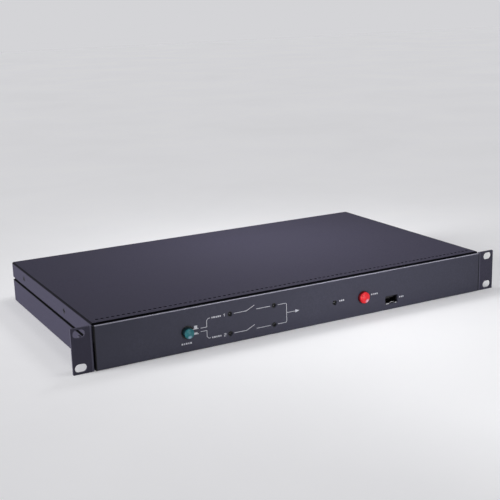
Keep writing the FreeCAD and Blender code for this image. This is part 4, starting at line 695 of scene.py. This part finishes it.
FASCIA_PAINT = MarkedPaint(
    "fascia paint", (66, 66, 80), (72, 72, 87), (0.3, 0.38), 1700.0, 0.009 * MM, coarse=0.3, specular=0.2,
    marks=(
        # Painted highlight along the fascia's rounded top edge.
        Mark((0.0, FASCIA_NEAR.y, FASCIA_FAR.z), (EVERYWHERE, RIM_DEPTH, RIM_HEIGHT), 0.35 * MM, PAINTED_EDGE_HIGHLIGHT),
        # Painted shade in the gaps at both ends of the fascia.
        Mark(
            (FASCIA_FAR.x, FASCIA_NEAR.y, 0.0), (FASCIA_END_REACH, FASCIA_END_DEPTH, EVERYWHERE),
            0.3 * MM, PAINTED_GAP_SHADE,
        ),
    ),
)
# The case paint made lighter on the ears, which paints light on their front faces.
LIGHTENED_EAR_PAINT = MarkedPaint(
    "lightened ear paint", (70, 68, 82), (76, 74, 89), (0.62, 0.7), 1500.0, 0.012 * MM, coarse=0.3, specular=0.06,
    marks=(
        # Painted highlight on the ear's bend.
        Mark(
            (EAR_NEAR.x + EAR_BEND_INSET, EAR_NEAR.y, 0.0), (EAR_BEND_REACH, EAR_BEND_DEPTH, EVERYWHERE),
            0.4 * MM, PAINTED_BEND_HIGHLIGHT,
        ),
    ),
)
BLACK_ZINC = DrawnMetal(
    "black zinc", (14, 14, 17), (26, 25, 30), (0.45, 0.6), 2600.0, 0.004 * MM, stretch=0.5
)
# A darker copy of the socket metal for the shell, which paints the shade of the socket's recess.
SHADED_SOCKET_SHELL = DrawnMetal(
    "socket shell", (30, 30, 33), (52, 52, 56), (0.4, 0.55), 2600.0, 0.003 * MM, stretch=0.5
)
SOCKET_NICKEL = DrawnMetal(
    "socket nickel", (205, 205, 208), (236, 236, 238), (0.14, 0.28), 3200.0, 0.002 * MM, stretch=0.2
)
BRASS = DrawnMetal("brass", (196, 160, 84), (224, 190, 116), (0.2, 0.34), 2600.0, 0.003 * MM)
GOLD_CONTACT = DrawnMetal(
    "gold contact", (222, 178, 88), (240, 202, 120), (0.15, 0.25), 4000.0, 0.001 * MM
)
CAP_GREEN = Finish("cap green", (6, 104, 112), (12, 114, 121), (0.44, 0.52), 1200.0, 0.003 * MM, coat=0.1)
CAP_RED = Finish("cap red", (230, 12, 30), (238, 20, 38), (0.44, 0.52), 1200.0, 0.003 * MM, coat=0.1)
SWITCH_MOULDING = Finish("switch moulding", (16, 16, 18), (24, 24, 27), (0.38, 0.5), 2600.0, 0.006 * MM)
# Dark lacquer on the display board, which paints the shade in the gap above the fascia.
SHADED_DISPLAY_LACQUER = BoardLacquer(
    "display lacquer", (14, 18, 18), (26, 32, 32), (0.5, 0.42), 900.0, 0.03 * MM
)
FAN_LABEL = Finish("fan label", (196, 198, 202), (212, 214, 218), (0.3, 0.4), 2000.0, 0.002 * MM)
FLOOR_PAPER = PaleFloor("floor paper", (226, 226, 228), (231, 231, 233), (0.8, 0.9))

SLOT_FINISHES: dict[str, Finish] = {
    "case_paint": CASE_PAINT,
    "fascia_paint": FASCIA_PAINT,
    "dark_zinc": DrawnMetal(
        "dark zinc", (50, 49, 54), (80, 78, 84), (0.3, 0.45), 2600.0, 0.004 * MM, stretch=0.5
    ),
    "bright_zinc": DrawnMetal(
        "bright zinc", (186, 188, 192), (222, 222, 226), (0.22, 0.36), 2400.0, 0.004 * MM, stretch=0.4
    ),
    "print_white": Finish(
        "print white", (206, 207, 215), (222, 223, 230), (0.5, 0.62), 3000.0, 0.004 * MM
    ),
    "button_green": CAP_GREEN,
    "button_red": CAP_RED,
    "black_plastic": Finish(
        "black moulding", (24, 24, 26), (34, 34, 37), (0.45, 0.6), 2200.0, 0.012 * MM
    ),
    "lamp_lens": Finish(
        "lamp lens", (22, 25, 26), (34, 38, 39), (0.08, 0.14), 800.0, 0.001 * MM, coat=0.6
    ),
    "socket_metal": SOCKET_NICKEL,
    "board_green": BoardLacquer(
        "board lacquer", (12, 62, 36), (34, 96, 58), (0.34, 0.26), 900.0, 0.03 * MM
    ),
    "chip_black": Finish("chip black", (26, 26, 28), (38, 38, 41), (0.5, 0.62), 2400.0, 0.01 * MM),
    "relay_blue": Finish("relay blue", (26, 58, 122), (34, 70, 138), (0.24, 0.34), 1500.0, 0.004 * MM),
    "capacitor_yellow": Finish(
        "capacitor yellow", (206, 166, 46), (222, 184, 66), (0.22, 0.32), 1500.0, 0.004 * MM
    ),
    "capacitor_sleeve": Finish(
        "capacitor sleeve", (24, 28, 44), (34, 40, 60), (0.2, 0.3), 1400.0, 0.003 * MM, coat=0.3
    ),
    "terminal_grey": Finish(
        "terminal grey", (92, 98, 98), (108, 114, 114), (0.42, 0.54), 1800.0, 0.008 * MM
    ),
    "core_steel": DrawnMetal(
        "core steel", (84, 80, 76), (124, 118, 110), (0.42, 0.58), 1700.0, 0.02 * MM, stretch=0.02
    ),
    "sink_aluminium": DrawnMetal(
        "sink aluminium", (190, 192, 196), (222, 223, 226), (0.32, 0.45), 1400.0, 0.01 * MM
    ),
    "brass": BRASS,
    "wire_black": Finish("wire sleeve", (20, 20, 22), (30, 30, 33), (0.3, 0.42), 1600.0, 0.006 * MM),
    "ribbon_grey": Finish(
        "ribbon grey", (148, 148, 150), (168, 168, 170), (0.4, 0.5), 1100.0, 0.012 * MM
    ),
}
NODE_FINISHES: dict[str, Finish] = {
    "rack_ear_left": LIGHTENED_EAR_PAINT,
    "rack_ear_right": LIGHTENED_EAR_PAINT,
    "chassis_tray": TRAY_PAINT,
    "service_socket_shell": SHADED_SOCKET_SHELL,
    "top_cover": COVER_PAINT,
    "cover_screws": BLACK_ZINC,
    "display_board": SHADED_DISPLAY_LACQUER,
    "source_select_switch": SWITCH_MOULDING,
    "reset_switch": SWITCH_MOULDING,
    "lamp_holders": SWITCH_MOULDING,
    "service_socket_tongue": SWITCH_MOULDING,
}


class Paintshop:
    """Builds each finish once and puts it on pieces."""

    def __init__(self) -> None:
        """Starts with no materials."""
        self.made: dict[str, bpy.types.Material] = {}

    def material(self, finish: Finish) -> bpy.types.Material:
        """Gives a finish's material, and builds it the first time.

        Args:
            finish: The wanted finish.

        Returns:
            The material.
        """
        if finish.name not in self.made:
            self.made[finish.name] = finish.material()
        return self.made[finish.name]

    def coat(self, piece: Piece, finish: Finish) -> None:
        """Puts one finish on every slot of a piece.

        Args:
            piece: The piece.
            finish: Its finish.
        """
        made = self.material(finish)
        if not piece.material_slots:
            piece.data.materials.append(made)
        for slot in piece.material_slots:
            slot.material = made


SHOP = Paintshop()


def mount_named(name: str) -> dict:
    """Gives a mount's entry in the record."""
    return next(mount for mount in frame["record"]["mounts"] if mount["name"] == name)


def new_piece(name: str, mesh: Mesh, finish: Finish, node: str, slot: str) -> Piece:
    """Turns a bmesh into a finished piece that rides on a body.

    Args:
        name: The piece's name.
        mesh: The bmesh, which is freed.
        finish: The finish on all its faces.
        node: The CAD node whose body it moves with.
        slot: The record's material slot; not used.

    Returns:
        The new object.
    """
    bmesh.ops.remove_doubles(mesh, verts=mesh.verts, dist=MERGE_DISTANCE)
    bmesh.ops.recalc_face_normals(mesh, faces=mesh.faces)
    data = bpy.data.meshes.new(name)
    mesh.to_mesh(data)
    mesh.free()
    data.shade_smooth()
    data.set_sharp_from_angle(angle=SHARP_ANGLE)
    piece = bpy.data.objects.new(name, data)
    bpy.context.scene.collection.objects.link(piece)
    SHOP.coat(piece, finish)
    body = frame["nodes"][node]["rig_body"]
    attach(piece, body)
    LOG.info("made %s with %d faces, riding on %s", name, len(data.polygons), body)
    return piece


def turned_profile(mesh: Mesh, profile: Iterable[Pair], centre: Vector, steps: int) -> None:
    """Spins a profile about an axis along Y.

    Args:
        mesh: The bmesh that gets the shape.
        profile: Radius and Y of each point.
        centre: A point on the axis; only its X and Z count.
        steps: Number of steps in the turn.
    """
    points = [mesh.verts.new((centre.x + radius, y, centre.z)) for radius, y in profile]
    edges = [mesh.edges.new(pair) for pair in zip(points, points[1:])]
    bmesh.ops.spin(
        mesh, geom=points + edges, cent=centre, axis=(0, 1, 0), angle=FULL_TURN, steps=steps,
        use_merge=True,
    )


def rounded_box(mesh: Mesh, low: Vector, high: Vector, edge: float) -> None:
    """Adds a box with bevelled edges between two corners.

    Args:
        mesh: The bmesh that gets the box.
        low: Its lowest corner.
        high: Its highest corner.
        edge: Width of the bevel.
    """
    size = high - low
    place = Matrix.Translation((low + high) / 2) @ Matrix.Diagonal((*size, 1.0))
    made = bmesh.ops.create_cube(mesh, size=1.0, matrix=place)
    edges = list({line for point in made["verts"] for line in point.link_edges})
    bmesh.ops.bevel(mesh, geom=edges, offset=edge, segments=2, profile=0.5, affect="EDGES", material=-1)


def bent_sheet(
    mesh: Mesh, across: int, along: int, sheet: float, shape: Callable[[float, float], Vector]
) -> None:
    """Adds a bent strip of sheet.

    Args:
        mesh: The bmesh that gets the strip.
        across: Number of steps across it.
        along: Number of steps along it.
        sheet: The sheet's thickness.
        shape: Gives a point's place from its shares across and along, both from -0.5 to 0.5.
    """
    made = bmesh.ops.create_grid(mesh, x_segments=across, y_segments=along, size=0.5)
    for point in made["verts"]:
        point.co = shape(point.co.x, point.co.y)
    faces = list({face for point in made["verts"] for face in point.link_faces})
    bmesh.ops.solidify(mesh, geom=faces, thickness=sheet)


@dataclass
class PushButtonCap:
    """Crowned cap of a push button, in place of the frame's plain one."""

    node: str
    finish: Finish
    slot: str
    # Painted shade on the cap's side, then the colour, place and reach of a painted highlight on its dome.
    side: Colour
    painted_highlight: Colour
    highlight_place: Pair
    highlight_reach: float
    rim: float = 1.5 * MM
    crown: float = 1.1 * MM
    rim_steps: int = 6
    crown_steps: int = 8
    turn_steps: int = 64
    # Where the painted side shade starts and ends, in rims behind the crown.
    side_shade_shares: Pair = (0.5, 1.4)

    def profile(self, radius: float, front: float, back: float) -> list[Pair]:
        """Gives the cap's outline from the middle of its crown to the middle of its back.

        Args:
            radius: The cap's radius.
            front: Y of the crown's middle.
            back: Y of the back.

        Returns:
            Radius and Y of each point.
        """
        points = []
        flat = radius - self.rim
        for step in range(self.crown_steps + 1):
            share = step / self.crown_steps
            points.append((flat * share, front + self.crown * share ** 2))
        shoulder = front + self.crown
        for step in range(1, self.rim_steps + 1):
            turn = math.pi / 2 * step / self.rim_steps
            points.append((flat + self.rim * math.sin(turn), shoulder + self.rim * (1 - math.cos(turn))))
        return points + [(radius, back), (0.0, back)]

    def build(self) -> Piece:
        """Builds the cap.

        Returns:
            The cap.
        """
        low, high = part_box(self.node)
        radius = (high.x - low.x) / 2
        centre = (low + high) / 2
        mesh = bmesh.new()
        turned_profile(mesh, self.profile(radius, low.y, high.y), centre, self.turn_steps)
        # Middle of the painted highlight on the dome.
        across, up = self.highlight_place
        spot = (centre.x + radius * across, low.y + self.crown, centre.z + radius * up)
        plain = {**asdict(self.finish), "name": f"{self.finish.name} dome"}
        finish = DomedMoulding(
            **plain, centre=spot, reach=self.highlight_reach, painted_highlight=self.painted_highlight, side=self.side,
            side_shade_ends=tuple(spot[1] + self.rim * share for share in self.side_shade_shares),
        )
        cap = new_piece(f"{self.node}_cap", mesh, finish, self.node, self.slot)
        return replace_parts(cap, self.node)


@dataclass
class ServiceSocket:
    """Contacts and sprung sheet of the service socket."""

    contact_count: int = 4
    contact_pitch: float = 2.5 * MM
    contact_width: float = 1.0 * MM
    contact_lift: float = 0.12 * MM
    contact_run: Pair = (0.6 * MM, 7.0 * MM)
    contact_edge: float = 0.05 * MM
    tongue_share: float = 0.68
    spring_shares: Pair = (0.27, 0.73)
    spring_inset: float = 1.2 * MM
    spring_gap: float = 0.02 * MM
    spring_steps: int = 8
    spring_width: float = 2.6 * MM
    spring_sheet: float = 0.25 * MM
    spring_dip: float = 0.7 * MM
    spring_length: float = 6.0 * MM
    wall: float = 0.7 * MM
    tab_sheet: float = 0.35 * MM
    tab_shares: tuple[Pair, ...] = ((-0.31, 0.26), (0.38, 0.13))
    flare_length: float = 1.9 * MM
    curl: float = 0.8 * MM
    curl_steps: int = 5
    bow_share: float = 0.06
    bow_width: float = 5.4 * MM
    bow_rise: float = 1.1 * MM
    bow_length_share: float = 0.8
    bow_steps: int = 10

    def contacts(self) -> Piece:
        """Builds the gold strips under the tongue.

        Returns:
            The strips.
        """
        low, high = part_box("service_socket_tongue")
        tongue_low = low.z + (high.z - low.z) * self.tongue_share
        mesh = bmesh.new()
        middle, half = (low.x + high.x) / 2, self.contact_width / 2
        for number in range(self.contact_count):
            x = middle + (number - (self.contact_count - 1) / 2) * self.contact_pitch
            start, end = (
                Vector((x + side * half, low.y + y, tongue_low + side * self.contact_lift))
                for side, y in zip((-1, 1), self.contact_run)
            )
            rounded_box(mesh, start, end, self.contact_edge)
        return new_piece("service_socket_contacts", mesh, GOLD_CONTACT, "service_socket_tongue", "brass")

    def springs(self) -> Piece:
        """Builds the bent spring strips in the floor and the roof of the shell.

        Returns:
            The strips.
        """
        low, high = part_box("service_socket_shell")
        mesh = bmesh.new()
        for share in self.spring_shares:
            x = low.x + (high.x - low.x) * share
            for base, side in ((low.z + self.wall, 1), (high.z - self.wall, -1)):
                self._spring(mesh, x, low.y + self.spring_inset, base, side)
        return new_piece(
            "service_socket_springs", mesh, SOCKET_NICKEL, "service_socket_shell", "socket_metal"
        )

    def _spring(self, mesh: Mesh, x: float, y: float, base: float, side: int) -> None:
        """Adds one strip that arches away from the shell's wall.

        Args:
            mesh: The bmesh that gets the strip.
            x: Middle of the strip.
            y: Its front end.
            base: Height of the wall's inner face.
            side: 1 to arch upwards, -1 downwards.
        """
        def shape(across: float, along: float) -> Vector:
            """Gives the place of a point of the strip.

            Args:
                across: The point's share across the strip.
                along: Its share along the strip.

            Returns:
                The place.
            """
            share = along + 0.5
            lift = self.spring_dip * math.sin(math.pi * share)
            return Vector((
                x + across * self.spring_width,
                y + share * self.spring_length,
                base + side * (lift + self.spring_gap),
            ))

        bent_sheet(mesh, 1, self.spring_steps, self.spring_sheet, shape)

    def flares(self) -> Piece:
        """Builds the curled tabs under the mouth of the shell and the bowed strip between them.

        Returns:
            The tabs.
        """
        low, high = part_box("service_socket_shell")
        middle = (low.x + high.x) / 2
        mesh = bmesh.new()
        width = high.x - low.x
        inner = low.z + self.wall
        for place, length in self.tab_shares:
            self._tab(mesh, Vector((middle + width * place, low.y, inner)), width * length)
        self._bow(mesh, Vector((middle + width * self.bow_share, low.y, inner)))
        return new_piece(
            "service_socket_flares", mesh, SOCKET_NICKEL, "service_socket_shell", "socket_metal"
        )

    def _tab(self, mesh: Mesh, root: Vector, length: float) -> None:
        """Adds one tab that runs forward from the shell's mouth and curls down at its end.

        Args:
            mesh: The bmesh that gets the tab.
            root: Middle of the tab's root, on the mouth.
            length: The tab's length along the mouth.
        """
        straight = self.flare_length - self.curl

        def shape(across: float, along: float) -> Vector:
            """Gives the place of a point of the tab.

            Args:
                across: The point's share across the tab.
                along: Its share along the tab.

            Returns:
                The place.
            """
            run = (along + 0.5) * (self.curl_steps + 1)
            turn = max(run - 1, 0.0) / self.curl_steps * math.pi / 2
            reach = straight * min(run, 1.0) + self.curl * math.sin(turn)
            drop = self.curl * (1 - math.cos(turn))
            return root - Vector((across * length, reach, drop))

        bent_sheet(mesh, 1, self.curl_steps, self.tab_sheet, shape)

    def _bow(self, mesh: Mesh, root: Vector) -> None:
        """Adds the bowed strip that stands up in the floor of the mouth.

        Args:
            mesh: The bmesh that gets the strip.
            root: Middle of the strip's foot, on the mouth.
        """
        def shape(across: float, along: float) -> Vector:
            """Gives the place of a point of the bow.

            Args:
                across: The point's share across the bow.
                along: Its share along the bow.

            Returns:
                The place.
            """
            rise = self.bow_rise * math.cos(math.pi * across)
            reach = self.flare_length * self.bow_length_share * (0.5 - along)
            return root + Vector((across * self.bow_width, -reach, rise))

        bent_sheet(mesh, self.bow_steps, 1, self.tab_sheet, shape)

    def build(self) -> None:
        """Builds the contacts, springs and flares."""
        self.contacts()
        self.springs()
        self.flares()


@dataclass
class EarthStud:
    """Earth stud with a rolled thread on its free end, in place of the frame's plain one."""

    pitch: float = 0.7 * MM
    depth: float = 0.36 * MM
    chamfer_share: float = 1.2
    plain_turns: float = 1.6
    lead_share: float = 0.6
    ridge_share: float = 0.46
    root_sink: float = 0.05 * MM
    shank_steps: int = 32
    steps_a_turn: int = 20

    def build(self) -> Piece:
        """Builds the shank, the core of the free end and its thread.

        Returns:
            The stud.
        """
        low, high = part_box("earth_stud")
        shank = (high.x - low.x) / 2
        centre = (low + high) / 2
        mount = mount_named("earth")
        radius = mount["dims"]["r_mm"] * MM
        step = high.y - mount["dims"]["length_mm"] * MM
        core = radius - self.depth
        chamfer = self.depth * self.chamfer_share
        mesh = bmesh.new()
        profile = [
            (0.0, low.y), (shank - chamfer, low.y), (shank, low.y + chamfer), (shank, step),
            (core, step), (core, high.y - chamfer), (core - chamfer, high.y), (0.0, high.y),
        ]
        turned_profile(mesh, profile, centre, self.shank_steps)
        turns = int((high.y - step - self.pitch * self.plain_turns) / self.pitch)
        first = step + self.pitch * self.lead_share
        half = self.pitch * self.ridge_share
        root = core - self.root_sink
        ridge = [(root, first - half), (radius, first), (root, first + half)]
        points = [mesh.verts.new((centre.x + reach, y, centre.z)) for reach, y in ridge]
        edges = [mesh.edges.new(pair) for pair in zip(points, points[1:] + points[:1])]
        mesh.faces.new(points)
        done = bmesh.ops.spin(
            mesh, geom=points + edges, cent=centre, axis=(0, 1, 0), angle=FULL_TURN * turns,
            steps=turns * self.steps_a_turn, dvec=(0, self.pitch / self.steps_a_turn, 0),
        )
        mesh.faces.new([item for item in done["geom_last"] if isinstance(item, bmesh.types.BMVert)])
        piece = new_piece("earth_stud_threaded", mesh, BRASS, "earth_stud", "brass")
        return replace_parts(piece, "earth_stud")


@dataclass
class FanLabel:
    """Plain foil disc on the hub of a fan's rotor."""

    node: str
    radius: float = 7.6 * MM
    sheet: float = 0.15 * MM
    ring: tuple[float, float, float, float] = (0.72, 0.75, 0.79, 0.82)
    ring_depth_share: float = 0.4
    turn_steps: int = 48

    def build(self) -> Piece:
        """Builds the disc with a pressed ring.

        Returns:
            The disc.
        """
        low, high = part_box(self.node)
        centre = (low + high) / 2
        top = high.y + self.sheet
        pressed = top - self.sheet * self.ring_depth_share
        ring = [(self.radius * share, y) for share, y in zip(self.ring, (top, pressed, pressed, top))]
        profile = [
            (0.0, top), *ring, (self.radius - self.sheet, top), (self.radius, top - self.sheet),
            (self.radius, high.y - self.sheet), (0.0, high.y - self.sheet),
        ]
        mesh = bmesh.new()
        turned_profile(mesh, profile, centre, self.turn_steps)
        return new_piece(f"{self.node}_label", mesh, FAN_LABEL, self.node, "bright_zinc")


@dataclass
class OutletContacts:
    """Brass leaves that show in the slots of the rear outlets."""

    small_core: Pair = (20.4 * MM, 14.4 * MM)
    large_core: Pair = (25.6 * MM, 17.8 * MM)
    spread: Pair = (0.27, 0.2)
    recess: float = 2.6 * MM
    depth: float = 8.0 * MM
    gap: float = 0.85 * MM
    length: float = 3.6 * MM
    leaf: float = 0.35 * MM
    leaf_edge: float = 0.08 * MM

    def leaves(self, mesh: Mesh, mount: str, core: Pair, tall: bool) -> None:
        """Adds a pair of leaves in each of an outlet's three slots.

        Args:
            mesh: The bmesh that gets them.
            mount: The outlet's mount.
            core: Width and height of the outlet's core.
            tall: Whether the slots stand upright.
        """
        mouth = Vector(mount_named(mount)["pos_m"])
        across, rise = (size * share for size, share in zip(core, self.spread))
        for x, z in ((-across, -rise), (across, -rise), (0.0, rise)):
            for side in (-1, 1):
                offset = Vector((side * self.gap, 0, 0))
                half = Vector((self.leaf / 2, 0, self.length / 2))
                if not tall:
                    offset, half = offset.zyx, half.zyx
                middle = mouth + Vector((x, 0, z)) + offset
                low, high = middle - half, middle + half
                low.y = mouth.y - self.recess - self.depth
                high.y = mouth.y - self.recess
                rounded_box(mesh, low, high, self.leaf_edge)

    def build(self) -> None:
        """Builds the leaves of all five outlets."""
        mesh = bmesh.new()
        for mount in frame["record"]["mounts"]:
            if mount["name"].startswith("outlet_"):
                self.leaves(mesh, mount["name"], self.small_core, True)
        new_piece("outlet_contacts", mesh, BRASS, "outlets", "brass")
        mesh = bmesh.new()
        self.leaves(mesh, "large_outlet", self.large_core, False)
        new_piece("large_outlet_contacts", mesh, BRASS, "large_outlet", "brass")


@dataclass
class Studio:
    """Pale floor, soft lights, pale surroundings and the camera of the photograph."""

    floor_size: float = 12.0
    floor_gap: float = 0.02 * MM
    azimuth: float = -28.39
    elevation: float = 14.35
    roll: float = -1.68
    distance: float = 1.098
    target: Place = (0.0203, 0.023, 0.0437)
    focal_pixels: float = 983.44
    frame_pixels: float = 500.0
    sensor: float = 36.0
    far_limit: float = 50.0
    surroundings: float = 0.39

    def floor(self) -> None:
        """Lays the pale floor under the object."""
        low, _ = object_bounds()
        mesh = bmesh.new()
        place = Matrix.Translation((0, 0, low[2] - self.floor_gap))
        bmesh.ops.create_grid(mesh, x_segments=1, y_segments=1, size=self.floor_size / 2, matrix=place)
        data = bpy.data.meshes.new("studio_floor")
        mesh.to_mesh(data)
        mesh.free()
        paper = bpy.data.objects.new("studio_floor", data)
        bpy.context.scene.collection.objects.link(paper)
        SHOP.coat(paper, FLOOR_PAPER)
        paper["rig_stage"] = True

    def world(self) -> None:
        """Sets pale surroundings, dimmer as a light than as a background."""
        world = bpy.data.worlds.new("studio surroundings")
        bpy.context.scene.world = world
        world.use_nodes = True
        sheet = NodeSheet(world.node_tree)
        back = world.node_tree.nodes["Background"]
        back.inputs["Color"].default_value = linear(BACKGROUND)
        strength = sheet.ramp(sheet.seen_directly(), target=(self.surroundings, 1.0))
        sheet.join(strength, back.inputs["Strength"])

    def lamp(
        self, name: str, place: Sequence[float], aim: Sequence[float], size: Pair,
        power: float, spread: float,
    ) -> None:
        """Adds a soft rectangular lamp.

        Args:
            name: The lamp's name.
            place: Its position.
            aim: The point that it faces.
            size: Width and height.
            power: Power in watts.
            spread: How far its light fans out, in degrees.
        """
        data = bpy.data.lights.new(name, "AREA")
        data.shape = "RECTANGLE"
        data.size, data.size_y = size
        data.energy = power
        data.spread = math.radians(spread)
        lamp = bpy.data.objects.new(name, data)
        lamp.location = Vector(place)
        lamp.visible_camera = False
        lamp.rotation_euler = (Vector(aim) - Vector(place)).to_track_quat("-Z", "Y").to_euler()
        bpy.context.scene.collection.objects.link(lamp)

    def sun(self, name: str, towards: Sequence[float], spread: float, level: float) -> None:
        """Adds an even, soft lamp that is far away.

        Args:
            name: The lamp's name.
            towards: The way from the object to the lamp.
            spread: How wide it looks, in degrees.
            level: Its light on a surface that faces it, 1 being a plain level.
        """
        data = bpy.data.lights.new(name, "SUN")
        data.angle = math.radians(spread)
        data.energy = level * math.pi
        lamp = bpy.data.objects.new(name, data)
        lamp.rotation_euler = Vector(towards).to_track_quat("Z", "Y").to_euler()
        bpy.context.scene.collection.objects.link(lamp)

    def lamps(self) -> None:
        """Sets an even lamp at the left, one high above, one before the fascia and one low over the top."""
        self.sun("key_left", towards=(-0.9, 0.12, 0.2), spread=24.0, level=1.36)
        self.lamp(
            "edge_light", (0.35, -0.5, 1.7), (0.0, -0.1, 0.03), size=(0.35, 0.35), power=0.35, spread=60.0
        )
        self.lamp(
            "front_fill", (0.06, -0.8, 0.16), (0.06, -0.12, 0.03), size=(0.2, 0.2), power=0.185, spread=52.0
        )
        self.lamp(
            "rear_glow", (0.06, 0.06, 0.34), (0.06, 0.05, 0.04), size=(0.12, 0.12), power=0.35, spread=120.0
        )

    def camera(self) -> None:
        """Sets the camera where the photograph's was."""
        azimuth, elevation, roll = (math.radians(v) for v in (self.azimuth, self.elevation, self.roll))
        back = Vector((
            math.sin(azimuth) * math.cos(elevation),
            -math.cos(azimuth) * math.cos(elevation),
            math.sin(elevation),
        ))
        right = (-back).cross(Vector((0, 0, 1))).normalized()
        up = right.cross(-back)
        turned_right = right * math.cos(roll) + up * math.sin(roll)
        turned_up = up * math.cos(roll) - right * math.sin(roll)
        place = Vector(self.target) + back * self.distance
        data = bpy.data.cameras.new("photograph_camera")
        data.sensor_width = self.sensor
        data.lens = self.focal_pixels / self.frame_pixels * self.sensor
        data.clip_end = self.far_limit
        camera = bpy.data.objects.new("photograph_camera", data)
        columns = Matrix((turned_right, turned_up, back)).transposed().to_4x4()
        camera.matrix_world = Matrix.Translation(place) @ columns
        bpy.context.scene.collection.objects.link(camera)
        bpy.context.scene.camera = camera

    def build(self) -> None:
        """Sets up the whole studio."""
        self.floor()
        self.world()
        self.lamps()
        self.camera()
        bpy.context.scene.view_settings.view_transform = "Standard"


def dress_frame() -> None:
    """Gives every CAD node the finish of its material slot."""
    for entry in frame["record"]["subparts"]:
        node = entry["node"]
        finish = NODE_FINISHES.get(node, SLOT_FINISHES[entry["material_slot"]])
        SHOP.coat(frame["nodes"][node], finish)
        LOG.info("dressed %s in %s", node, finish.name)


def main() -> None:
    """Dresses the frame, adds the fine pieces and sets up the studio."""
    logging.basicConfig(level=logging.INFO, format="%(name)s: %(message)s")
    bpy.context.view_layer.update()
    dress_frame()
    # Each cap has painted shade on its side and a painted highlight low on its dome.
    PushButtonCap(
        "source_select_button", CAP_GREEN, "button_green", side=(8, 44, 52), painted_highlight=(160, 190, 212),
        highlight_place=(-0.03, -0.6), highlight_reach=2.6 * MM,
    ).build()
    PushButtonCap(
        "reset_button", CAP_RED, "button_red", side=(120, 8, 18), painted_highlight=(250, 190, 210),
        highlight_place=(0.34, -0.54), highlight_reach=3.0 * MM,
    ).build()
    ServiceSocket().build()
    EarthStud().build()
    for fan in ("fan_1_rotor", "fan_2_rotor"):
        FanLabel(fan).build()
    OutletContacts().build()
    Studio().build()


if __name__ == "__main__":
    main()
